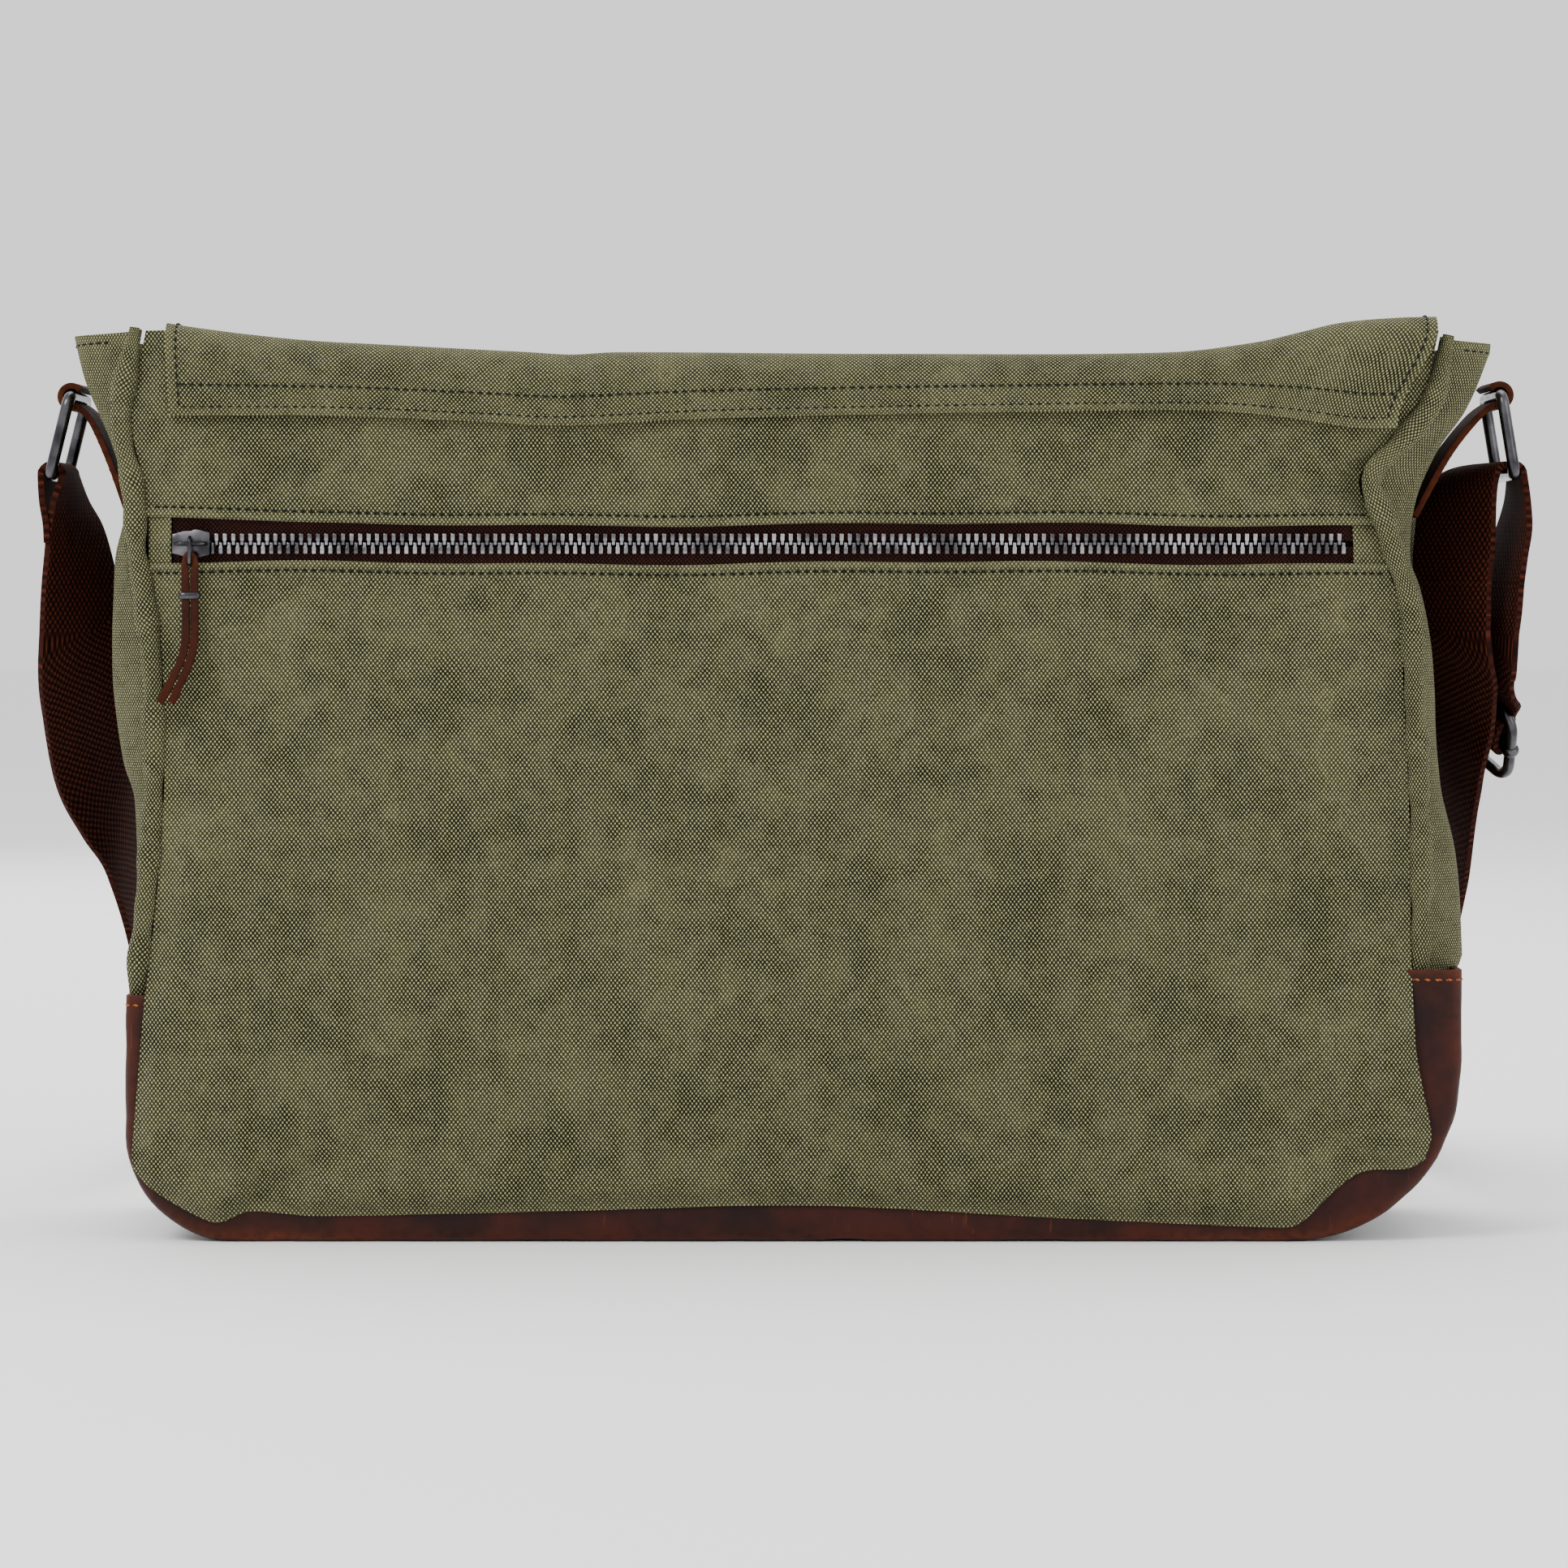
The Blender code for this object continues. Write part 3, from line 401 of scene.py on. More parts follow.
def pull_up_leather(name, deep, mid, rubbed, gloss, shine=0.28):
    """Waxed leather: the wax lies dark in the grain and goes pale and warm where it is bent or rubbed, and
    where a piece's wear map paints a highlight on a rim.
    """
    made, tree, shader = new_material(name, Specular_IOR_Level=shine)
    place = add(tree, "TexCoord", out=3)
    cloud = add(tree, "TexNoise", {"Vector": place, "Scale": 1 / (22 * MM), "Detail": 5.0, "Roughness": 0.62})
    fine = add(tree, "TexNoise", {"Vector": place, "Scale": 1 / (3 * MM), "Detail": 4.0, "Roughness": 0.6})
    wax = add(tree, "MapRange", (cloud, 0.36, 0.66, 0.0, 1.0), **SMOOTH)
    colour = add(tree, "Mix", {0: wax, 6: linear(deep), 7: linear(mid)}, **COLOUR)
    wear = add(tree, "Attribute", out=2, attribute_name="wear")
    patchy = add(tree, "MapRange", (fine, 0.30, 0.62, 0.35, 1.0), **SMOOTH)
    rub = add(tree, "Math", (wear, patchy), operation="MULTIPLY")
    colour = add(tree, "Mix", {0: rub, 6: colour, 7: linear(rubbed)}, **COLOUR)
    slanted = add(tree, "Mapping", {"Vector": place, "Rotation": (0, 0.5, 0), "Scale": (1, 1, 0.12)})
    scratch = add(tree, "TexNoise", {"Vector": slanted, "Scale": 1 / (1.6 * MM), "Detail": 2.0})
    scratch = add(tree, "MapRange", (scratch, 0.68, 0.76, 0.0, 0.22), **SMOOTH)
    colour = add(tree, "Mix", {0: scratch, 6: colour, 7: linear(rubbed)}, **COLOUR)
    tree.links.new(colour, shader.inputs["Base Color"])
    rough = add(tree, "MapRange", (cloud, 0.3, 0.7, gloss, gloss + 0.18), **SMOOTH)
    tree.links.new(rough, shader.inputs["Roughness"])
    pores = add(tree, "TexVoronoi", {"Vector": place, "Scale": 1 / (1.3 * MM)}, feature="SMOOTH_F1")
    height = add(tree, "Math", (pores, 0.5, fine), operation="MULTIPLY_ADD")
    relief = add(tree, "Bump", {"Height": height, "Strength": 0.30, "Distance": 0.2 * MM})
    tree.links.new(relief, shader.inputs["Normal"])
    return made


def plated(name, dark, bright, rough):
    """Nickel plate, tumbled: dark and glossy, with slightly paler rubbed areas."""
    made, tree, shader = new_material(name, Metallic=1.0)
    place = add(tree, "TexCoord", out=3)
    patch = add(tree, "TexNoise", {"Vector": place, "Scale": 1 / (9 * MM), "Detail": 3.0, "Roughness": 0.5})
    rubbed = add(tree, "MapRange", (patch, 0.35, 0.68, 0.0, 1.0), **SMOOTH)
    colour = add(tree, "Mix", {0: rubbed, 6: linear(dark), 7: linear(bright)}, **COLOUR)
    tree.links.new(colour, shader.inputs["Base Color"])
    haze = add(tree, "MapRange", (patch, 0.3, 0.7, rough, rough + 0.10), **SMOOTH)
    tree.links.new(haze, shader.inputs["Roughness"])
    return made


def twisted_thread(name, dark, light):
    """Sewing thread: two plies, whose turns are painted as slanting bands of shade and highlight."""
    made, tree, shader = new_material(name, Roughness=0.75, Specular_IOR_Level=0.2)
    place = add(tree, "TexCoord", out=3)
    plies = {"Vector": place, "Scale": 1 / (2.2 * MM), "Distortion": 1.0}
    # Painted shade and highlight: the diagonal bands darken the grooves between the plies and lighten their
    # crowns.
    twist_shading = add(tree, "TexWave", plies, 1, bands_direction="DIAGONAL")
    colour = add(tree, "Mix", {0: twist_shading, 6: linear(dark), 7: linear(light)}, **COLOUR)
    tree.links.new(colour, shader.inputs["Base Color"])
    return made


# Heavy cotton canvas, a plain weave of 0.65 mm yarns: pale crowns, partly left by washing and partly a painted
# highlight, over gaps darkened with painted shade.
CANVAS = woven(
    "washed_cotton_canvas", "#060702", "#303118", "#A9A67A", pitch=1.3 * MM, row=0.82 * MM, faded=0.08,
    bump=1.0, sheen=0.04,
)
# The same canvas where it faces in, with duller crowns and less fading, so it is darker and less worn.
CANVAS_INSIDE = woven(
    "canvas_unfaded", "#0C0B05", "#35351F", "#7C7D5C", pitch=1.3 * MM, row=0.82 * MM, faded=0.04, bump=0.8,
    sheen=0.04,
)
# Cotton webbing in a basket weave of doubled 1.2 mm yarns: dark and matt, with a pebbled face.
WEBBING = woven(
    "cotton_webbing", "#0A0302", "#2C100A", "#5A2A1A", pitch=2.4 * MM, row=1.4 * MM, faded=0.05, bump=1.0,
    sheen=0.0, fade_size=18 * MM,
)
# Zip tape: a fine dark weave with hardly any wear, so that the teeth stand out.
TAPE = woven(
    "woven_zip_tape", "#080303", "#26120F", "#45271F", pitch=1.3 * MM, row=0.7 * MM, faded=0.12, bump=0.5,
    sheen=0.02, fade_size=12 * MM,
)
# Cotton twill lining: thin, tan and flat, with a soft sheen.
LINING = woven(
    "cotton_twill_lining", "#251D12", "#4E4029", "#6C5C3F", pitch=0.9 * MM, row=0.5 * MM, faded=0.10,
    bump=0.3, sheen=0.1, fade_size=25 * MM,
)
# Waxed and oiled cowhide: deep red-brown, a low shine, pale where it is bent or rubbed; on the base's rounded
# rim that paleness is partly a painted highlight.
LEATHER = pull_up_leather("waxed_pull_up_leather", "#1A0705", "#32110A", "#6E341A", 0.42, 0.16)
# The tabs are the same hide, cut thinner and left drier, so that they shine less.
TAB_LEATHER = pull_up_leather("waxed_leather_tab", "#1E0C07", "#30150C", "#66331B", 0.75, 0.08)
# A square-cut lace of the same hide: matt, with a redder cut face.
LACE_LEATHER = pull_up_leather("leather_lace", "#200A04", "#321106", "#66331C", 0.7, 0.12)
# Zinc or steel wire in black nickel plate, tumbled: dark with bright lines along its edges.
GUNMETAL = plated("black_nickel_plate", "#343336", "#5A595D", 0.20)
# The slider is die cast and plated darker than the teeth.
SLIDER_METAL = plated("dark_nickel_slider", "#2E2D30", "#6E6D72", 0.24)
# Stamped teeth, tumbled until their crowns shine.
TEETH_METAL = plated("tumbled_nickel_teeth", "#4E4D51", "#A4A3A8", 0.20)
# Dyed polyester sewing threads, matt: dark green on the canvas, tan on leather, brown on webbing.
CANVAS_THREAD = twisted_thread("dark_green_thread", "#050805", "#0F1710")
LEATHER_THREAD = twisted_thread("tan_thread", "#5E2A11", "#A85A28")
WEBBING_THREAD = twisted_thread("brown_thread", "#241009", "#5E3A2A")
# Pressed grey board under the lining: flat and dull.
BOARD = woven(
    "grey_board", "#3B352A", "#4A4236", "#5A5244", pitch=1.0 * MM, row=1.0 * MM, faded=0.1, bump=0.1,
)


def finish_mesh(obj):
    """Bakes the piece's modifiers into its mesh."""
    bpy.context.view_layer.update()
    graph = bpy.context.evaluated_depsgraph_get()
    mesh = bpy.data.meshes.new_from_object(obj.evaluated_get(graph))
    obj.modifiers.clear()
    old = obj.data
    obj.data = mesh
    bpy.data.meshes.remove(old)
    mesh.name = obj.name
    return obj


def add_piece(
    name, bm, surface, body=None, nodes=(), sharp=50, thick=0.0, rounded=0.0, centred=False
):
    """The object of a finished bmesh, with its wall thickness, edge rounding, finish, body and CAD nodes."""
    mesh = bpy.data.meshes.new(name)
    bm.to_mesh(mesh)
    bm.free()
    mesh.materials.append(surface)
    obj = bpy.data.objects.new(name, mesh)
    bpy.context.scene.collection.objects.link(obj)
    if thick:
        wall = obj.modifiers.new("wall", "SOLIDIFY")
        wall.thickness = thick
        wall.offset = 0 if centred else -1
    if rounded:
        edge = obj.modifiers.new("edge", "BEVEL")
        edge.width = rounded
        edge.segments = 2
        edge.limit_method = "ANGLE"
        edge.angle_limit = math.radians(50)
    if thick or rounded:
        finish_mesh(obj)
    obj.data.shade_smooth()
    obj.data.set_sharp_from_angle(angle=math.radians(sharp))
    if body:
        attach(obj, body)
    if nodes:
        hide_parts(*nodes)
    return obj


def skin(
    columns, rows, place, size, wear=None, round_u=False, round_v=False, capped=False, flip=False, lay=None
):
    """A grid laid over a surface: place(u, v) gives each point, and size is the cloth map's (width, length).

    The length can be a function of v, for uneven steps. lay gives the whole map from the finished point.
    """
    bm = bmesh.new()
    bmesh.ops.create_grid(bm, x_segments=columns, y_segments=rows, size=0.5)
    cloth = bm.loops.layers.uv.new("cloth")
    worn = bm.verts.layers.float.new("wear")
    length = size[1] if callable(size[1]) else lambda v: v * size[1]
    for face in bm.faces:
        for loop in face.loops:
            loop[cloth].uv = ((loop.vert.co.x + 0.5) * size[0], length(loop.vert.co.y + 0.5))
    for vert in bm.verts:
        u, v = vert.co.x + 0.5, vert.co.y + 0.5
        vert[worn] = wear(u, v) if wear else 0.0
        vert.co = place(u, v)
    if lay:
        for face in bm.faces:
            for loop in face.loops:
                loop[cloth].uv = lay(loop.vert.co)
    if round_u or round_v:
        bmesh.ops.remove_doubles(bm, verts=bm.verts, dist=0.002 * MM)
    if capped:
        bmesh.ops.holes_fill(bm, edges=[e for e in bm.edges if e.is_boundary], sides=0)
    if flip:
        bmesh.ops.reverse_faces(bm, faces=bm.faces)
    return bm


def outward(bm):
    """Points the faces of a closed or open shell outwards."""
    bmesh.ops.recalc_face_normals(bm, faces=bm.faces)
    return bm


def tube(line, radius, around=12, closed=False, flat=1.0, up=(0, 1, 0), steps=None):
    """A round or flattened tube along a line. flat squeezes it along up."""
    steps = steps or len(line) - 1
    length = run_of(line)
    spots = [along(line, k / steps) for k in range(steps + 1)]
    frames = []
    for k, at in enumerate(spots):
        if closed:
            tangent = spots[(k + 1) % steps] - spots[(k - 1) % steps]
        else:
            tangent = spots[min(k + 1, steps)] - spots[max(k - 1, 0)]
        tangent.normalize()
        side = tangent.cross(Vector(up))
        side.normalize()
        frames.append((at, side, side.cross(tangent)))

    def place(u, v):
        at, side, other = frames[round(v * steps)]
        a = 2 * math.pi * u
        size = radius(v) if callable(radius) else radius
        return at + side * math.cos(a) * size + other * math.sin(a) * size * flat

    size = radius(0.5) if callable(radius) else radius
    around_and_along = (2 * math.pi * size, length)
    bm = skin(around, steps, place, around_and_along, round_u=True, round_v=closed, capped=not closed)
    return outward(bm)


def join_into(target, source):
    """Adds one finished bmesh to another."""
    mesh = bpy.data.meshes.new("part")
    source.to_mesh(mesh)
    source.free()
    target.from_mesh(mesh)
    bpy.data.meshes.remove(mesh)


def stitches(name, line, facing, thread, body, pitch=2.9 * MM, long=2.2 * MM, thick=0.42 * MM):
    """A row of stitches: short rounded threads that dip into the cloth at both ends."""
    bm = bmesh.new()
    count = max(1, int(run_of(line) / pitch))
    for k in range(count):
        start, end = along(line, (k + 0.12) / count), along(line, (k + 0.12 + long / pitch) / count)
        run = (end - start).normalized()
        out = Vector(facing(start)) if callable(facing) else Vector(facing)
        out = (out - run * out.dot(run)).normalized()
        turned = Matrix((run, out, run.cross(out))).transposed().to_4x4()
        turned.translation = (start + end) / 2
        made = bmesh.ops.create_icosphere(bm, subdivisions=1, radius=1.0)["verts"]
        bmesh.ops.scale(bm, vec=((end - start).length / 2, thick, thick), verts=made)
        bmesh.ops.transform(bm, matrix=turned, verts=made)
    return add_piece(name, bm, thread, body, sharp=80)


def across_seam(left, right, u):
    """The place that lies a share u of the way from one side to the other."""
    return left + (right - left) * u


def upright_map(point):
    """The cloth map of a panel that hangs upright and faces front or back."""
    return point.x, point.z


def denser_ends(t, amount=0.75):
    """Spreads 0 to 1 so that steps are closer near both ends."""
    return t - amount * math.sin(2 * math.pi * t) / (2 * math.pi)


def edge_wear(distance, reach=2.5 * MM):
    """How worn the cloth is at a distance from an edge."""
    return math.exp(-((distance / reach) ** 2))


def make_back_panels():
    """The canvas back above and below the zip, the two end patches and the two rows of stitching."""
    low_top, high_bottom = ZIP_Z - ZIP_HALF_WINDOW, ZIP_Z + ZIP_HALF_WINDOW

    def zip_wave(x):
        return 0.5 * MM * math.sin(x / 0.034) + 0.3 * MM * math.sin(x / 0.013 + 1)

    def upper_rise(x):
        return 2.5 * MM * smoothstep(-0.150, -0.205, x)

    def pocket(u, v):
        share = denser_ends(u, 0.6)
        v = denser_ends(v)
        x = across_seam(LOWER_EDGE[0][0], LOWER_EDGE[-1][0], share)
        bottom = through(LOWER_EDGE, x)
        z = bottom + (low_top + zip_wave(x) - bottom) * v
        x = across_seam(through(LEFT_SEAM, z), through(RIGHT_SEAM, z), share)
        y = back_y(x, z)
        fold = low_top + zip_wave(x) - z
        y -= 0.9 * MM * math.exp(-(((fold - 1.2 * MM) / (1.5 * MM)) ** 2))
        y += 0.5 * MM * math.exp(-(((fold - 3.0 * MM) / (0.8 * MM)) ** 2))
        if fold < 0.4 * MM:
            y += 1.0 * MM
        return x, y, z

    def pocket_wear(u, v):
        return max(edge_wear((1 - denser_ends(v)) * 0.2), 0.6 * edge_wear(denser_ends(v) * 0.2))

    bm = skin(170, 110, pocket, (1, 1), pocket_wear, lay=upright_map)
    add_piece("back_pocket_canvas", bm, CANVAS, "root", ["back_pocket_panel"], thick=CANVAS_THICK)

    def upper(u, v):
        v = denser_ends(v, 0.5)
        share = denser_ends(u, 0.6)
        x = across_seam(-0.2060, 0.1980, share)
        top = 0.2735 + 12.5 * MM * (smoothstep(-0.185, -0.197, x) + smoothstep(0.186, 0.196, x))
        z = high_bottom + (top - high_bottom) * v
        x = across_seam(through(LEFT_SEAM, z), through(RIGHT_SEAM, z), share)
        z += zip_wave(x) * (1 - v) + upper_rise(x) * (1 - v)
        y = back_y(x, z)
        fold = z - high_bottom - zip_wave(x) - upper_rise(x)
        y -= 0.9 * MM * math.exp(-(((fold - 1.3 * MM) / (1.6 * MM)) ** 2))
        y += 0.5 * MM * math.exp(-(((fold - 3.3 * MM) / (0.8 * MM)) ** 2))
        if fold < 0.3 * MM:
            y += 1.0 * MM
        return x, y, z

    bm = skin(
        170, 40, upper, (1, 1), lambda u, v: edge_wear(denser_ends(v, 0.5) * 0.055), lay=upright_map
    )
    add_piece("back_upper_canvas", bm, CANVAS, "root", ["back_panel_upper"], thick=CANVAS_THICK)

    for name, left, right in (("left", -0.2030, -0.1953), ("right", 0.1757, 0.1878)):
        def patch(u, v, left=left, right=right):
            x = across_seam(left, right, u)
            z = low_top - 3 * MM + (high_bottom - low_top + 8 * MM) * v
            edge = min(abs(x - left), abs(x - right))
            return x, back_y(x, z) + 1.2 * MM - 0.5 * MM * math.exp(-((edge - 1.2 * MM) / MM) ** 2), z

        bm = skin(12, 18, patch, (1, 1), lambda u, v: 0.3, lay=upright_map)
        add_piece(
            f"zip_end_canvas_{name}", bm, CANVAS, "root", [f"zip_end_patch_{name}"],
            thick=CANVAS_THICK, rounded=0.3 * MM,
        )

    for name, height, low, high, rise in (
        ("zip_stitch_lower", low_top - 3.1 * MM, -0.2005, 0.1855, 0),
        ("zip_stitch_upper", high_bottom + 3.3 * MM, -0.2010, 0.1800, 1),
    ):
        line = []
        for k in range(121):
            x = low + (high - low) * k / 120
            z = height + zip_wave(x) + rise * upper_rise(x)
            line.append(Vector((x, back_y(x, z) - 0.05 * MM, z)))
        stitches(name, line, (0, -1, 0), CANVAS_THREAD, "root")


def make_front_panel():
    """The canvas front and the stitching of its top hem."""
    def place(u, v):
        z = 0.0085 + (0.2620 - 0.0085) * denser_ends(v, 0.6)
        halves = []
        for radius in (BASE_RADIUS_RIGHT, BASE_RADIUS_LEFT):
            below = max(0.0, radius - z)
            outline = BASE_HALF - radius + math.sqrt(radius ** 2 - below ** 2)
            halves.append(min(through(FRONT_SEAM, z), outline - 9 * MM))
        x = across_seam(halves[0], -halves[1], denser_ends(u, 0.5))
        return x, front_y(x, z), z

    bm = skin(90, 70, place, (1, 1), lambda u, v: 0.5 * edge_wear((1 - v) * 0.25), lay=upright_map)
    add_piece("front_canvas", bm, CANVAS, "root", ["front_panel"], thick=CANVAS_THICK)
    line = [Vector((x / 1000, front_y(x / 1000, 0.2560) + 0.1 * MM, 0.2560)) for x in range(-196, 197, 4)]
    stitches("front_mouth_stitch", line, (0, 1, 0), CANVAS_THREAD, "root")


def make_side(side):
    """One gusset, its rolled seams at the back and the front, and the stitching of its top hem."""
    name = "left" if side < 0 else "right"
    seam = LEFT_SEAM if side < 0 else RIGHT_SEAM
    bulge = LEFT_BULGE if side < 0 else RIGHT_BULGE
    middle = LEFT_MIDDLE if side < 0 else RIGHT_MIDDLE
    low = 0.0735 if side < 0 else 0.0810
    top = 0.2865 if side < 0 else 0.2840

    def gusset_point(u, z):
        front = side * through(FRONT_SEAM, z)
        x = through(
            [(0, through(seam, z) + side * 2 * MM), (0.16, through(bulge, z)), (0.5, through(middle, z)),
             (0.84, front + side * 6.5 * MM), (1, front + side * 2 * MM)], u,
        )
        inward = side * 3 * MM * smoothstep(low + 8 * MM, low, z)
        x += side * 0.6 * cloth_noise((u - 0.5) * 0.1, z, 40 + side) - inward
        return Vector((x, (-0.0490 + 0.0980 * u) * taper(z), z))

    def side_map(point):
        """The cloth's run round the gusset, which bulges and then falls back to the middle."""
        bulge_here = side * point.x - side * through(middle, point.z)
        return point.y - math.copysign(0.8, point.y) * bulge_here, point.z

    def place(u, v):
        z = low + (top - low) * v
        slump = 2.5 * MM * max(0.0, math.sin(math.pi * u)) ** 0.45 * smoothstep(0.8, 1.0, v)
        return gusset_point(u, z) - Vector((0, 0, slump))

    bm = skin(
        44, 80, place, (1, 1), lambda u, v: edge_wear((1 - v) * 0.2, 4 * MM), flip=side < 0, lay=side_map
    )
    add_piece(f"gusset_canvas_{name}", bm, CANVAS, "root", [f"gusset_{name}"], thick=CANVAS_THICK)
    hem = []
    for k in range(41):
        at = gusset_point(0.06 + 0.88 * k / 40, top - 4 * MM)
        hem.append(at + Vector((side * 0.2 * MM, 0, -2.3 * MM * math.sin(math.pi * k / 40))))
    stitches(f"gusset_hem_stitch_{name}", hem, (side, 0, 0), CANVAS_THREAD, "root")

    for end, face in (("back", -1), ("front", 1)):
        line = []
        count = 60
        high = top + 0.5 * MM if face < 0 else 0.266
        for k in range(count + 1):
            z = low - 2 * MM + (high - low + 2 * MM) * k / count
            x = (through(seam, z) if face < 0 else side * through(FRONT_SEAM, z)) + side * 3.4 * MM
            tucked = 3.0 * MM * smoothstep(low + 12 * MM, low, z)
            y = face * (0.0500 * taper(z) + 0.5 * cloth_noise(x, z * 2, 60) - tucked)
            line.append(Vector((x - side * 0.6 * tucked, y, z)))

        def thickness(v):
            top_end = 1 - 0.5 * smoothstep(0.94, 1.0, v)
            return (3.5 + 0.40 * math.sin(v * 37 + side) + 0.3 * math.sin(v * 91)) * MM * top_end

        bm = tube(line, thickness, 14, flat=0.85, up=(0, 1, 0), steps=90)
        add_piece(
            f"rolled_seam_{end}_{name}", bm, CANVAS, "root", [f"corner_seam_{end}_{name}"],
        )


def make_base():
    """The leather base: a strip up one side, under the bag and up the other, turned onto back and front."""
    half, left_top, right_top = BASE_HALF, 0.0775, 0.0855
    left_radius, right_radius = BASE_RADIUS_LEFT, BASE_RADIUS_RIGHT
    outline = (
        [(-half, left_top), (-half, 0.060)]
        + arc((left_radius - half, left_radius), left_radius, 180, 270, 14)
        + [(-0.09, 0), (0, 0), (0.08, 0)]
        + arc((half - right_radius, right_radius), right_radius, 270, 360, 20)
        + [(half, 0.072), (half, right_top)]
    )
    path = [Vector((x, 0, z)) for x, z in outline]
    steps = 170
    spots = [along(path, k / steps) for k in range(steps + 1)]
    inward = []
    for k in range(steps + 1):
        tangent = (spots[min(k + 1, steps)] - spots[max(k - 1, 0)]).normalized()
        inward.append(Vector((-tangent.z, 0, tangent.x)))
    flange, corner = 24 * MM, 4 * MM

    def place(u, v):
        k = round(v * steps)
        at, into = spots[k], inward[k]
        depth = BODY_HALF_DEPTH * taper(at.z)
        sign = -1 if u < 0.5 else 1
        w = min(u, 1 - u)
        if w < 0.14:
            t = w / 0.14
            inset, sunk = flange + (corner - flange) * t, 2.2 * MM * (1 - t) ** 2
        elif w < 0.26:
            a = (w - 0.14) / 0.12 * math.pi / 2
            inset, sunk = corner * (1 - math.sin(a)), corner * (1 - math.cos(a))
        else:
            t = (w - 0.26) / 0.24
            inset, sunk = 0.0, corner + (depth - corner) * t
        dent = 0.7 * MM * noise.noise(Vector((at.x / 0.03, u * 4, at.z / 0.03)))
        pucker = 0.5 * MM * noise.noise(Vector((at.x / 0.011, u * 9, at.z / 0.011)))
        inset += max(0.0, dent + pucker)
        return at + into * inset + Vector((0, sign * (depth - sunk - max(0.0, pucker)), 0))

    def wear(u, v):
        w = min(u, 1 - u)
        # Paler along the rounded bend, most at the corners: partly the real lightening of pull-up leather
        # where it is bent, partly a painted highlight on the rounded rim. The cut ends are edge wear.
        bend = math.exp(-(((w - 0.20) / 0.05) ** 2))
        ends = 0.5 * edge_wear(min(v, 1 - v) * 0.53, 2 * MM)
        corners = math.exp(-(((v - 0.20) / 0.05) ** 2)) + math.exp(-(((v - 0.77) / 0.06) ** 2))
        return min(1.0, bend * (0.16 + 0.34 * corners) + 0.5 * ends)

    bm = skin(60, steps, place, (0.126, 0.560), wear)
    add_piece(
        "base_leather", bm, LEATHER, "root", ["leather_base"], thick=LEATHER_THICK,
        rounded=0.3 * MM,
    )
    for name, side, v in (("left", -1, 1 / steps), ("right", 1, 1 - 1 / steps)):
        start = 0.06 if side < 0 else 0.03
        line = [place(start + (1 - 2 * start) * k / 60, v) for k in range(61)]
        middle = Vector((side * 0.195, 0, line[0].z))
        line = [p + Vector((p.x - middle.x, p.y, 0)).normalized() * 0.1 * MM for p in line]
        stitches(
            f"base_stitch_{name}", line, lambda p, m=middle: (p.x - m.x, 0.25 * p.y, 0), LEATHER_THREAD,
            "root", pitch=3.4 * MM, long=2.6 * MM, thick=0.45 * MM,
        )


def make_zip():
    """The two tapes, each with its row of teeth."""
    left, right = -0.1950, 0.1752
    mid_y = -0.0520 * taper(ZIP_Z)
    for name, sign in (("upper", 1), ("lower", -1)):
        def tape(u, v, sign=sign):
            z = ZIP_Z + sign * (1.0 * MM + 7.5 * MM * v)
            wave = 0.25 * MM * math.sin(u * 40) * v
            return left + (right + 0.002 - left) * u, -0.0506 * taper(z) + wave, z

        bm = skin(120, 12, tape, (0.370, 0.0075), flip=sign < 0)
        add_piece(
            f"zip_tape_cloth_{name}", bm, TAPE, "root", [f"zip_tape_{name}"], thick=0.8 * MM
        )
        row = bmesh.new()
        pitch = 2.65 * MM
        count = int((right - left) / pitch)
        for k in range(count):
            x = left + (k + (0.25 if sign > 0 else 0.75)) * pitch
            slant = 0.06 * math.sin(k * 0.9)
            # A block clamped on the tape's edge, and the smaller head that reaches into the other row
            for wide, deep, tall, off in ((1.35, 2.3, 2.3, 2.05), (1.05, 1.9, 1.7, 0.45)):
                made = bmesh.ops.create_cube(row, size=1)["verts"]
                bmesh.ops.scale(row, vec=(wide * MM, deep * MM, tall * MM), verts=made)
                edges = list({e for v in made for e in v.link_edges})
                bevelled = bmesh.ops.bevel(
                    row, geom=edges, offset=0.30 * MM, segments=2, profile=0.5, affect="EDGES", material=-1
                )
                made = bevelled["verts"] + [v for v in made if v.is_valid]
                made = list({v for v in made if v.is_valid})
                bmesh.ops.rotate(row, matrix=Matrix.Rotation(slant, 3, "Z"), verts=made)
                bmesh.ops.translate(row, vec=(x, mid_y, ZIP_Z + sign * off * MM), verts=made)
        add_piece(
            f"zip_tooth_row_{name}", row, TEETH_METAL, "root", [f"zip_teeth_{name}"], sharp=35
        )


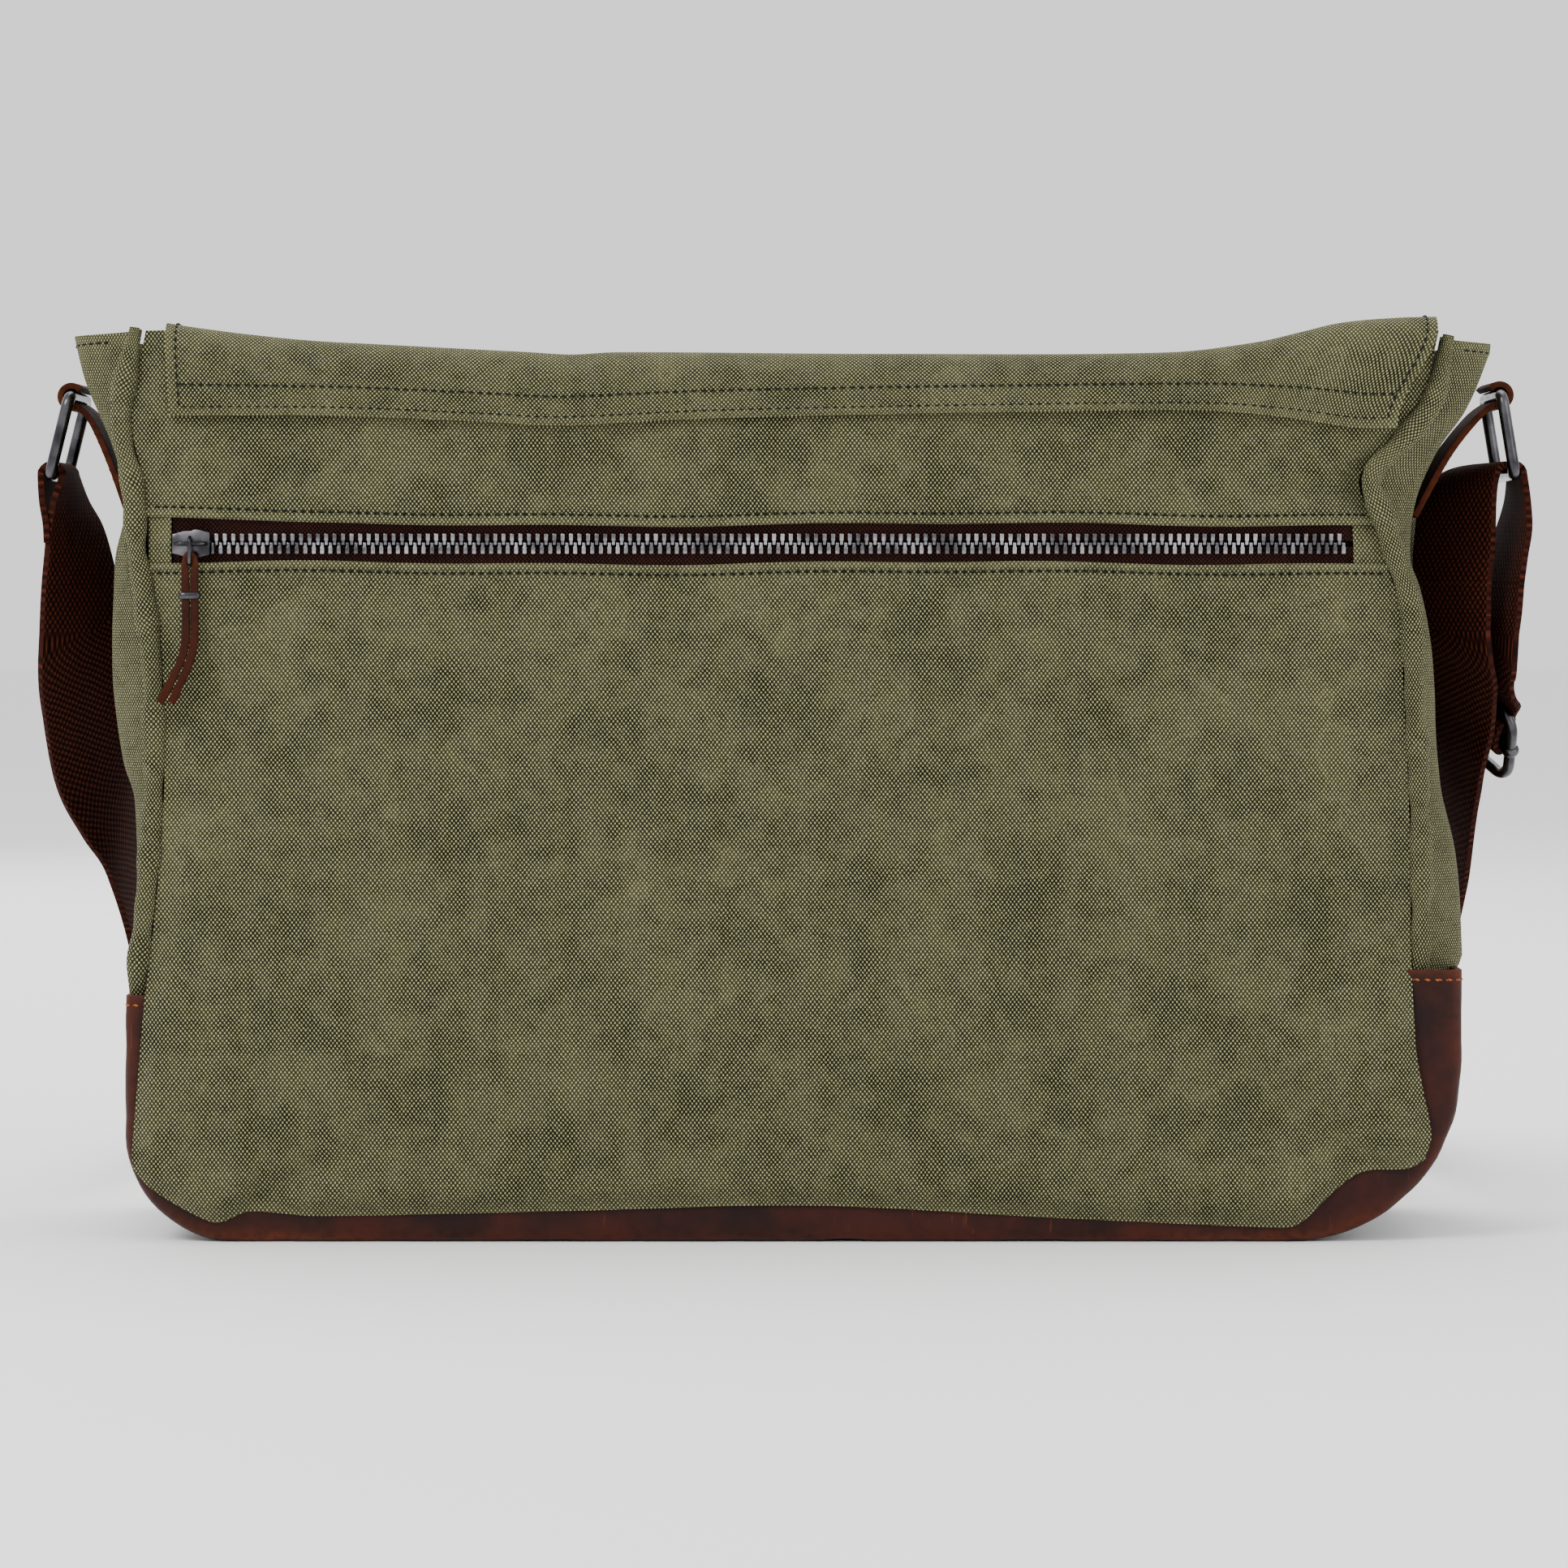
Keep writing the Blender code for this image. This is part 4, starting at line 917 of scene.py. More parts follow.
def make_slider():
    """Two plates joined by a post, and the crown that holds the pull."""
    low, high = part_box("zip_slider")
    middle = (low + high) / 2
    half_long = (high.x - low.x) / 2
    face = -0.0556 * taper(ZIP_Z)

    def body_outline(x):
        """Half the slider's height: a square heel and a nose that flares to pass the two rows."""
        return 4.0 * MM - 0.9 * MM * smoothstep(0.3, 1.0, abs(x) / half_long) + (0.5 * MM if x > 0 else 0)

    bm = bmesh.new()
    for y_low, y_high in ((face - 0.2 * MM, face + 1.4 * MM), (face + 5.2 * MM, face + 6.4 * MM)):
        made = bmesh.ops.create_grid(bm, x_segments=10, y_segments=4, size=0.5)["verts"]
        for v in made:
            x = v.co.x * 2 * half_long
            z = v.co.y * 2 * body_outline(x)
            v.co = (middle.x + x, y_low + 0.35 * MM * (2 * abs(v.co.y)) ** 3, ZIP_Z + z)
        faces = list({f for v in made for f in v.link_faces})
        grown = bmesh.ops.extrude_face_region(bm, geom=faces)
        moved = [g for g in grown["geom"] if isinstance(g, bmesh.types.BMVert)]
        for v in moved:
            v.co.y = y_high
    post = bmesh.ops.create_cube(bm, size=1)["verts"]
    bmesh.ops.scale(bm, vec=(3 * MM, 5 * MM, 0.4 * MM), verts=post)
    bmesh.ops.translate(bm, vec=(middle.x + 3.5 * MM, face + 3.2 * MM, ZIP_Z), verts=post)
    bmesh.ops.remove_doubles(bm, verts=bm.verts, dist=0.001 * MM)
    outward(bm)
    crown = [
        Vector((middle.x + along_it * MM, face + out * MM, ZIP_Z))
        for along_it, out in ((-4.4, 0.2), (-3.9, -2.6), (-1.8, -3.2), (1.8, -3.0), (4.2, -2.0), (4.8, 0.2))
    ]
    join_into(bm, tube(spline(crown, 5), 0.95 * MM, 12, flat=0.75, up=(0, 0, 1)))
    add_piece(
        "slider_metal", bm, SLIDER_METAL, "slider", ["zip_slider"], rounded=0.25 * MM, sharp=40
    )


def make_pull():
    """The wire loop, the leather lace folded through it and the crimp."""
    low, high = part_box("pull_ring")
    x = (low.x + high.x) / 2
    y = (low.y + high.y) / 2
    radius = 2.0 * MM
    bottom = 0.2125
    loop = arc((y, 0.2190), radius, 0, 180, 10) + arc((y, bottom + radius), radius, 180, 360, 10)
    line = [Vector((x, a, b)) for a, b in loop]
    line.append(line[0].copy())
    bm = tube(line, 0.6 * MM, 12, closed=True, up=(1, 0, 0), steps=48)
    add_piece("pull_ring_wire", bm, GUNMETAL, "pull_ring", ["pull_ring"])

    # The lace's middle as (sideways in mm, height), and how far each leg stands from it in mm
    middle_line = [
        (0, 0.2110), (0, 0.2060), (0.2, 0.1990), (0.2, 0.1890), (-1.0, 0.1830), (-3.8, 0.1765),
        (-7.4, 0.1692),
    ]
    spread = [1.5, 1.42, 1.38, 1.38, 1.45, 1.6, 1.75]

    def rest_y(z):
        """The lace leans out as it hangs, so that it clears the full cloth all along the zip."""
        return y - 3.0 * MM * smoothstep(0.212, 0.185, z)

    def leg(side):
        return [Vector((x + (a + side * s) * MM, rest_y(z), z)) for (a, z), s in zip(middle_line, spread)]

    turn = [
        Vector((x + a * MM, y, z)) for a, z in ((-1.45, 0.2140), (-0.8, 0.2154), (0.8, 0.2154), (1.45, 0.2140))
    ]
    path = spline(leg(-1)[::-1] + turn + leg(1), 6)
    steps = 110
    spots = [along(path, k / steps) for k in range(steps + 1)]

    def place(u, v):
        k = round(v * steps)
        tangent = (spots[min(k + 1, steps)] - spots[max(k - 1, 0)]).normalized()
        side = Vector((tangent.z, 0, -tangent.x))
        a = 2 * math.pi * u + math.pi / 4
        power = 0.55
        c = math.copysign(abs(math.cos(a)) ** power, math.cos(a))
        s = math.copysign(abs(math.sin(a)) ** power, math.sin(a))
        wide = (1.28 + 0.05 * math.sin(k * 0.35)) * (1 - 0.30 * math.exp(-(((v - 0.5) / 0.05) ** 2)))
        return spots[k] + side * c * wide * MM + Vector((0, 1, 0)) * s * 0.95 * MM

    def wear(u, v):
        return 0.08 + 0.3 * edge_wear(abs(v - 0.5), 0.05)

    bm = outward(skin(16, steps, place, (0.008, 0.1), wear, round_u=True, capped=True))
    add_piece("lace_leather", bm, LACE_LEATHER, "pull_lace", ["pull_lace"])
    low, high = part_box("pull_crimp")
    middle = (low + high) / 2
    clamp = []
    for k in range(33):
        a = 2 * math.pi * k / 32
        c = math.copysign(abs(math.cos(a)) ** 0.5, math.cos(a))
        s = math.copysign(abs(math.sin(a)) ** 0.5, math.sin(a))
        clamp.append(Vector((middle.x + c * 3.1 * MM, rest_y(middle.z) + s * 1.4 * MM, middle.z)))
    bm = tube(clamp, 0.4 * MM, 8, closed=True, up=(0, 0, 1), flat=2.4, steps=32)
    add_piece("crimp_metal", bm, GUNMETAL, "pull_lace", ["pull_crimp"])


def flap_line(x):
    """The flap's run at one place across its width: up the back, over the top and down the front."""
    ridge = through(RIDGE, x)
    hem = through(HEM_EDGE, min(max(x, -0.1955), 0.188))
    line = []
    for share in (0.0, 0.35, 0.7):
        z = hem + (ridge - 9 * MM - hem) * share
        off = (2.2 + 0.8 * min(1, share * 3)) * MM + 0.4 * cloth_noise(x, z, 70)
        line.append(Vector((x, -BODY_HALF_DEPTH * taper(z) - off, z)))
    top_y = -BODY_HALF_DEPTH * taper(ridge)
    line += [
        Vector((x, top_y - 2.0 * MM, ridge - 6 * MM)), Vector((x, top_y + 2.5 * MM, ridge - 1.0 * MM)),
        Vector((x, top_y + 10 * MM, ridge)),
    ]
    sag = ridge - 1.0 * MM + 0.6 * cloth_noise(x, 0.5, 80)
    line += [Vector((x, -0.012, sag)), Vector((x, 0.012, sag))]
    top_y = 0.0590 * taper(FLAP_HINGE_Z)
    line += [
        Vector((x, top_y - 8 * MM, ridge - 0.5 * MM)), Vector((x, top_y - 0.5 * MM, ridge - 4.5 * MM)),
        Vector((x, top_y + 2.0 * MM, ridge - 13 * MM)),
    ]
    for z in (0.240, 0.200, 0.150, 0.100, 0.060):
        line.append(Vector((x, 0.0605 * taper(z) + 1.2 * cloth_noise(x, z, 90) + 0.5 * MM, z)))
    return spline(line, 6)


def make_flap():
    """The flap in two cloths that meet in the middle of the top, with its seams, lining and snaps."""
    left, right = -0.1970, 0.2020
    columns = 110
    lines = [flap_line(left + (right - left) * k / columns) for k in range(columns + 1)]
    middle_shares = []
    for line in lines:
        whole = run_of(line)
        reached = 0.0
        for a, b in zip(line, line[1:]):
            if a.y <= 0.0 <= b.y and a.z > 0.26:
                middle_shares.append((reached + (b - a).length * (0 - a.y) / (b.y - a.y)) / whole)
                break
            reached += (b - a).length

    def edge_x(u, z, y):
        """The side edges draw in on the back, where the hem follows the seams."""
        x = left + (right - left) * u
        if y < -0.02:
            drop = smoothstep(0.288, 0.256, z)
            x -= 13 * MM * drop * smoothstep(0.80, 1.0, u)
            x += 1.5 * MM * drop * smoothstep(0.1, 0.0, u)
        return x

    def flap_point(u, share):
        k = u * columns
        low = min(int(k), columns - 1)
        a, b = along(lines[low], share), along(lines[low + 1], share)
        at = a.lerp(b, k - low)
        at.x = edge_x(u, at.z, at.y)
        if at.y > 0.03 and at.z < 0.130:
            corner = 35 * MM
            reach = min(at.x - left, right - at.x)
            if reach < corner:
                rise = corner * (1 - reach / corner) ** 2.5
                at.z += rise * (0.130 - at.z) / 0.070
        return at

    def share_at(u, v, part):
        k = u * columns
        low = min(int(k), columns - 1)
        middle = middle_shares[low] + (middle_shares[low + 1] - middle_shares[low]) * (k - low)
        return middle * v if part == "back" else middle + (1 - middle) * v

    def wear(part):
        def worn(u, v):
            side = edge_wear(min(u, 1 - u) * (right - left), 2.5 * MM)
            if part == "back":
                end, bend = edge_wear(v * 0.075), edge_wear(abs(v - 0.36) * 0.075, 5 * MM)
            else:
                end, bend = edge_wear((1 - v) * 0.27), edge_wear(abs(v - 0.16) * 0.27, 6 * MM)
            return min(1, 0.8 * side + 0.8 * end + 0.25 * bend)
        return worn

    def back_point(u, v):
        """A place on the back cloth, whose turned-in side and end edges stand a little proud."""
        at = flap_point(u, share_at(u, v, "back"))
        if at.y < -0.03:
            side = min(u, 1 - u) * (right - left)
            at.y -= 0.6 * MM * math.exp(-(((side - 1.6 * MM) / (1.4 * MM)) ** 2))
            above = v * FLAP_BACK_RUN
            at.y -= 1.0 * MM * math.exp(-(((above - 1.6 * MM) / (1.5 * MM)) ** 2))
        return at

    def front_point(u, v):
        return flap_point(u, share_at(u, v, "front"))

    bm = skin(columns, 46, back_point, (FLAP_WIDTH, FLAP_BACK_RUN), wear("back"))
    obj = add_piece(
        "flap_canvas_back", bm, CANVAS, None, ["flap_hem", "flap_top"], thick=2.0 * MM
    )
    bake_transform(obj)
    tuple(LIFT_START)
    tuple(LIFT_END)
    bm = skin(columns, 84, front_point, (FLAP_WIDTH, FLAP_FRONT_RUN), wear("front"))
    obj = add_piece("flap_canvas_front", bm, CANVAS, None, ["flap_front"], thick=2.0 * MM)
    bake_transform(obj)
    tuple(UNFOLD_START)
    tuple(UNFOLD_END)

    def hem_line(rise, low, high, count=110):
        line = []
        for k in range(count + 1):
            u = low + (high - low) * k / count
            at = flap_point(u, share_at(u, rise / FLAP_BACK_RUN, "back"))
            line.append(at + Vector((0, -0.25 * MM, 0)))
        return line

    stitches("flap_hem_stitch_low", hem_line(3 * MM, 0.008, 0.992), (0, -1, 0), CANVAS_THREAD, "root")
    stitches("flap_hem_stitch_high", hem_line(10.5 * MM, 0.008, 0.992), (0, -1, 0), CANVAS_THREAD, "root")
    for name, u in (("left", 3.2 * MM / FLAP_WIDTH), ("right", 1 - 3.2 * MM / FLAP_WIDTH)):
        for part, pair, first, last, count in (
            ("back", ("root", "flap_top", LIFT_START, LIFT_END), 0.03, 1.0, 40),
            ("front", ("flap_top", "flap_front", UNFOLD_START, UNFOLD_END), 0.0, 0.97, 120),
        ):
            shares = [first + (last - first) * k / count for k in range(count + 1)]
            line = [flap_point(u, share_at(u, share, part)) for share in shares]

            def facing(p):
                return (0, -1, 0.3) if p.y < -0.040 else (0, 0.0, 1) if p.z > 0.277 else (0, 1, 0.2)

            raised = [p + Vector(facing(p)).normalized() * 0.25 * MM for p in line]
            obj = stitches(f"flap_side_stitch_{name}_{part}", raised, facing, CANVAS_THREAD, None)
            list(pair)
            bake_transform(obj)
    bottom = []
    for k in range(111):
        u = 0.008 + 0.984 * k / 110
        at = front_point(u, 0.982)
        bottom.append(at + Vector((0, 0.3 * MM, 0)))
    obj = stitches("flap_lower_stitch", bottom, (0, 1, 0), CANVAS_THREAD, None)
    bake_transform(obj)
    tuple(UNFOLD_START)
    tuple(UNFOLD_END)

    def lining(u, v):
        return front_point(0.03 + 0.94 * u, 0.20 + 0.765 * v) - Vector((0, 2.5 * MM, 0))

    bm = skin(60, 60, lining, (0.37, 0.20), flip=True)
    obj = add_piece("flap_lining_cloth", bm, LINING, "flap_front", ["flap_lining"], thick=0.4 * MM)
    for node, body in (
        ("snap_socket_left", "root"), ("snap_socket_right", "root"),
        ("snap_stud_left", "flap_front"), ("snap_stud_right", "flap_front"),
    ):
        low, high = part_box(node)
        at = (low + high) / 2
        bm = bmesh.new()
        for radius, depth, off in ((9.0, 1.0, 0), (6.0, 0.5, 0.55), (2.2, 0.3, 0.85)):
            sign = 1 if "socket" in node else -1
            made = bmesh.ops.create_cone(
                bm, cap_ends=True, segments=40, radius1=radius * MM, radius2=radius * MM, depth=depth * MM
            )["verts"]
            bmesh.ops.rotate(bm, matrix=Matrix.Rotation(math.pi / 2, 3, "X"), verts=made)
            bmesh.ops.translate(bm, vec=at + Vector((0, sign * (off - 0.3) * MM, 0)), verts=made)
        add_piece(f"{node}_metal", bm, GUNMETAL, body, [node], rounded=0.15 * MM, sharp=40)


def make_inside():
    """The lining as one open sack, the base board under it, and the canvas facing round the mouth."""
    low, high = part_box("main_lining")
    corner = 12 * MM

    def ring(u):
        """A point round the lining's rounded rectangle, and its outward direction."""
        half_x, half_y = (high.x - low.x) / 2 - corner, (high.y - low.y) / 2 - corner
        centre = Vector(((low.x + high.x) / 2, (low.y + high.y) / 2, 0))
        straight = [2 * half_y, 2 * half_x, 2 * half_y, 2 * half_x]
        round_run = math.pi / 2 * corner
        target = (u % 1) * (sum(straight) + 4 * round_run)
        corners = [(half_x, half_y), (-half_x, half_y), (-half_x, -half_y), (half_x, -half_y)]
        starts = [(half_x, -half_y, 0), (half_x, half_y, 90), (-half_x, half_y, 180), (-half_x, -half_y, 270)]
        for k in range(4):
            x, y, facing = starts[k]
            out = Vector((math.cos(math.radians(facing)), math.sin(math.radians(facing)), 0))
            step = Vector((-out.y, out.x, 0))
            if target <= straight[k]:
                return centre + Vector((x, y, 0)) + out * corner + step * target, out
            target -= straight[k]
            if target <= round_run:
                a = math.radians(facing) + target / corner
                out = Vector((math.cos(a), math.sin(a), 0))
                return centre + Vector((*corners[k], 0)) + out * corner, out
            target -= round_run
        return ring(0)

    def sack(u, v):
        at, out = ring(u)
        z = low.z + (high.z - low.z) * v
        floor = smoothstep(0.0, 0.06, v)
        at = at - out * (8 * MM * (1 - floor) + 2.2 * MM)
        squeeze = 1 - 0.10 * v
        ripple = 1.2 * MM * noise.noise(Vector((at.x / 0.03, at.y / 0.03, z / 0.06)))
        return Vector((at.x - out.x * abs(ripple), at.y * squeeze - out.y * abs(ripple), z + 1 * MM))

    bm = skin(160, 50, sack, (0.86, 0.25), round_u=True)
    rim = [e for e in bm.edges if e.is_boundary and e.verts[0].co.z < low.z + 5 * MM]
    bmesh.ops.holes_fill(bm, edges=rim, sides=0)
    outward(bm)
    add_piece("lining_sack", bm, LINING, "root", ["main_lining"], thick=0.5 * MM)
    low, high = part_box("base_board")
    bm = bmesh.new()
    bmesh.ops.create_cube(bm, size=1)
    bmesh.ops.scale(bm, vec=high - low, verts=bm.verts)
    bmesh.ops.translate(bm, vec=(low + high) / 2, verts=bm.verts)
    upright = [e for e in bm.edges if abs(e.verts[0].co.z - e.verts[1].co.z) > MM]
    bmesh.ops.bevel(bm, geom=upright, offset=10 * MM, segments=6, profile=0.5, affect="EDGES", material=-1)
    add_piece("base_board_sheet", bm, BOARD, "root", ["base_board"], rounded=0.4 * MM)

    for name, y_of in (
        ("front", lambda x, z: front_y(x, z) - 2.2 * MM), ("back", lambda x, z: back_y(x, z) + 2.2 * MM),
    ):
        low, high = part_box(f"mouth_facing_{name}")

        def place(u, v, low=low, high=high, y_of=y_of):
            x, z = low.x + (high.x - low.x) * u, low.z + (high.z - low.z) * v
            return x, y_of(x, z), z

        bm = skin(80, 10, place, (0.35, high.z - low.z), flip=name == "back")
        add_piece(
            f"facing_canvas_{name}", bm, CANVAS_INSIDE, "root", [f"mouth_facing_{name}"],
            thick=0.8 * MM,
        )
    low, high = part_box("back_pocket_lining")

    def pocket(u, v):
        x, z = low.x + (high.x - low.x) * u, low.z + (high.z - low.z) * v
        return x, -0.0425 * taper(z) + 0.4 * cloth_noise(x, z, 120), z

    bm = skin(60, 50, pocket, (0.354, 0.235))
    add_piece("pocket_lining_cloth", bm, LINING, "root", ["back_pocket_lining"], thick=0.5 * MM)


def wire_frame(at, wide, down, half_width, low, high, corner):
    """A closed rectangle of wire with rounded corners, between two distances down from a place."""
    flat = (
        arc((half_width - corner, high - corner), corner, 90, 0, 8)
        + arc((half_width - corner, low + corner), corner, 0, -90, 8)
        + arc((corner - half_width, low + corner), corner, -90, -180, 8)
        + arc((corner - half_width, high - corner), corner, 180, 90, 8)
    )
    line = [at + wide * a + down * b for a, b in flat]
    line.append(line[0].copy())
    return tube(line, RING_WIRE, 20, closed=True, up=down.cross(wide), steps=120)


def strip_over(line, width, wear):
    """A band whose middle follows a line in the XZ plane and whose width runs along Y."""
    steps = len(line) - 1

    def place(u, v):
        return line[round(v * steps)] + Vector((0, (u - 0.5) * width, 0))

    return skin(14, steps, place, (width, run_of(line)), wear)


def make_hardware(side):
    """One side's leather tab and the wire ring that hangs in it."""
    name = "left" if side < 0 else "right"
    if side < 0:
        top, bottom = Vector((-0.2300, 0, 0.2660)), Vector((-0.2362, 0, 0.2410))
        tail = [(-0.2122, 0.2290), (-0.2178, 0.2450), (-0.2236, 0.2580)]
    else:
        top, bottom = Vector((0.2250, 0, 0.2665)), Vector((0.2292, 0, 0.2412))
        tail = [(0.1982, 0.2280), (0.2085, 0.2470), (0.2178, 0.2590)]
    loop = [(top.x - side * (a - top.x), b) for a, b in arc((top.x, top.z), 3.5 * MM, -60, -325, 14)]
    line = spline([Vector((x, 0, z)) for x, z in [*tail, *loop]], 4)
    bm = strip_over(line, 35 * MM, lambda u, v: 0.05 + 0.3 * edge_wear(min(u, 1 - u) * 0.035, 1.5 * MM))
    add_piece(
        f"tab_leather_{name}", bm, TAB_LEATHER, "root", [f"strap_tab_{name}"], thick=1.9 * MM,
        rounded=0.35 * MM, centred=True,
    )
    down = bottom - top
    bm = wire_frame(top, Vector((0, 1, 0)), down.normalized(), 22.5 * MM, 0, down.length, 3.6 * MM)
    add_piece(f"ring_wire_{name}", bm, GUNMETAL, f"ring_{name}", [f"ring_{name}"])
    bars = [along(line[:16], 0.25 + 0.06 * k) for k in range(9)]
    for edge, y in (("back", -14.5 * MM), ("front", 14.5 * MM)):
        row = [p + Vector((side * 1.05 * MM, y, 0)) for p in bars]
        stitches(
            f"tab_stitch_{name}_{edge}", row, (side, 0, 0.3), LEATHER_THREAD, "root",
        )


def strap_stations(points, turns, side):
    """Middles and width directions along the strap, which turns its width upright as it nears the floor."""
    stations = []
    for k, at in enumerate(points):
        tangent = (points[min(k + 1, len(points) - 1)] - points[max(k - 1, 0)]).normalized()
        turn = math.radians(turns[k])
        width = Vector((-side * math.sin(turn), math.cos(turn), 0))
        if at.z < 0.190:
            width = (width - tangent * width.dot(tangent)).normalized()
        upright = Vector((0, 0, 1)) - tangent * tangent.z
        share = min(1, max(0, (0.120 - at.z) / 0.100))
        if share > 0:
            width = width.lerp(upright.normalized(), share).normalized()
            width = (width - tangent * width.dot(tangent)).normalized()
        stations.append((at, width))
    return stations


def route_of(fold, run, side, per_span=7):
    """Stations through the fold round the ring and on down the run."""
    points = [Vector((x, 0, z)) for x, z, _ in fold] + [Vector(at) for at, _ in run]
    turns = [t for _, _, t in fold] + [t for _, t in run]
    smooth_turns = [v.x for v in spline([(t, 0, 0) for t in turns], per_span)]
    return strap_stations(spline(points, per_span), smooth_turns, side)


def split_at(stations, start, test):
    """The first station from start on that meets a test, to share between two pieces."""
    return next(k for k in range(start, len(stations)) if test(stations[k][0]))


def adjuster_axes():
    """The adjuster's width direction and its outward one."""
    turn = math.radians(ADJUSTER_TURN)
    wide = Vector((-math.sin(turn), math.cos(turn), 0))
    wide = (wide - ADJUSTER_DOWN * wide.dot(ADJUSTER_DOWN)).normalized()
    out = ADJUSTER_DOWN.cross(wide)
    return wide, out if out.x > 0 else -out


def band(stations, wear):
    """Flat webbing through stations of (middle, width direction): a grid across and along."""
    steps = len(stations) - 1
    lengths = [0.0]
    for (a, _), (b, _) in zip(stations, stations[1:]):
        lengths.append(lengths[-1] + (b - a).length)

    def place(u, v):
        at, width = stations[round(v * steps)]
        ridge = 0.35 * MM * math.exp(-(((min(u, 1 - u) - 0.07) / 0.03) ** 2))
        return at + width * ((u - 0.5) * WEBBING_WIDTH + (ridge if u > 0.5 else -ridge))

    return skin(16, steps, place, (WEBBING_WIDTH, lambda v: lengths[round(v * steps)]), wear)


def webbing_piece(name, stations, nodes, body=None):
    """One length of webbing with its wall and its rounded edges."""
    bm = band(stations, lambda u, v: 0.5 * edge_wear(min(u, 1 - u) * WEBBING_WIDTH, 1.2 * MM))
    return add_piece(
        name, bm, WEBBING, body, nodes, thick=WEBBING_THICK, rounded=0.55 * MM, centred=True
    )


def make_strap():
    """The strap: folded on each ring, eased into the bag below it, and from there to the swinging strap."""
    left_centre, right_centre = (-0.2362, 0.2410), (0.2292, 0.2412)
    left_fold = [
        (-0.2378, 0.2195, 0), (-0.2382, 0.2260, 0), (-0.2393, 0.2330, 0),
        *((x, z, 0) for x, z in arc(left_centre, 3.5 * MM, 180, 0, 7)),
        (-0.2326, 0.2330, 9), (-0.2312, 0.2255, 18),
    ]
    right_fold = [
        *((x, z, t) for (x, _, z), t in RIGHT_OUTER[1::-1]), (0.2318, 0.2240, 8), (0.2329, 0.2330, 3),
        *((x, z, 0) for x, z in arc(right_centre, 3.5 * MM, 0, 115, 5)),
        (0.2235, 0.2443, 8), (0.2188, 0.2425, 18), (0.2155, 0.2385, 26), (0.2137, 0.2330, 31),
        (0.2130, 0.2250, 33),
    ]
    wholes = {}
    for side, fold, run in ((-1, left_fold, LEFT_RUN), (1, right_fold, RIGHT_RUN)):
        name = "left" if side < 0 else "right"
        stations = route_of(fold, run, side)
        top = max(range(len(stations)), key=lambda k: stations[k][0].z)
        cut = split_at(stations, top, lambda p: p.z <= HOLD_Z)
        obj = webbing_piece(f"webbing_fold_{name}", stations[:cut + 1], [f"strap_end_{name}"])
        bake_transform(obj)
        wholes[side] = stations[cut:]
    line = spline([Vector((x, y, 0.0200)) for x, y in ACROSS_ROUTE], 12)
    middle = [(p, Vector((0, 0, 1))) for p in line[1:-1]]
    stations = wholes[-1] + middle + wholes[1][::-1]
    obj = webbing_piece("webbing_run", stations, ["strap_left", "strap_across", "strap_right"])
    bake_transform(obj)
    for name, x, z in (("upper", -0.2403, 0.2320), ("lower", -0.2393, 0.2255)):
        line = [Vector((x, y / 1000, z)) for y in range(-17, 18, 2)]
        stitches(f"fold_stitch_{name}", line, (-1, 0, 0), WEBBING_THREAD, "ring_left")


def make_adjuster():
    """The wire frame with its middle bar, and the strap's end sewn round the bar."""
    wide, out = adjuster_axes()
    at, down = ADJUSTER_AT, ADJUSTER_DOWN
    half_long, half_wide = 12.5 * MM, 22.5 * MM
    bm = wire_frame(at, wide, down, half_wide, -half_long, half_long, 6.5 * MM)
    add_piece("adjuster_wire", bm, GUNMETAL, "adjuster", ["adjuster_frame"])
    reach = half_wide - 0.2 * MM
    bar = tube([at - wide * reach, at, at + wide * reach], 1.6 * MM, 16, up=out, steps=10)
    for end in (-1, 1):
        centre = at + wide * end * half_wide
        collar = [centre + down * (3.2 * MM) * (k / 12 - 0.5) for k in range(13)]

        def swell(v):
            return (2.0 + 0.9 * math.sin(math.pi * v) ** 0.5) * MM

        join_into(bar, tube(collar, swell, 20, up=out, steps=12))
    add_piece("adjuster_bar_metal", bar, GUNMETAL, "adjuster", ["adjuster_bar"])
    bend = arc((0, 0), 3.1 * MM, 0, -180, 9)
    profile = [(3.1 * MM, 9 * MM), (3.1 * MM, 4 * MM), *bend, (-3.0 * MM, 4 * MM), (-1.2 * MM, 9 * MM)]
    fold = spline([at + out * a - down * b for a, b in profile], 5)
    webbing_piece("webbing_fold_adjuster", [(p, wide) for p in fold], ["strap_end_adjuster"], "adjuster")


def make_outer_layer():
    """The strap's outer layer, from below the right ring down to the end sewn on the adjuster."""
    wide, out = adjuster_axes()
    meet = ADJUSTER_AT + out * 3.1 * MM - ADJUSTER_DOWN * 9 * MM
    points = [Vector(at) for at, _ in RIGHT_OUTER[1:]] + [meet]
    turns = [t for _, t in RIGHT_OUTER[1:]] + [ADJUSTER_TURN]
    smooth_turns = [v.x for v in spline([(t, 0, 0) for t in turns], 8)]
    stations = strap_stations(spline(points, 8), smooth_turns, 1)
    lead = [0.6 + 0.4 * k / len(stations) for k in range(len(stations))]
    stations = [
        (p, w.lerp(wide, smoothstep(0.8, 1.0, s)).normalized()) for (p, w), s in zip(stations, lead)
    ]
    cut = split_at(stations, 0, lambda p: p.z <= 0.1870)
    obj = webbing_piece("webbing_outer_upper", stations[:cut + 1], ["strap_return"])
    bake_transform(obj)
    obj = webbing_piece("webbing_outer_lower", stations[cut:], [])
    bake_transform(obj)


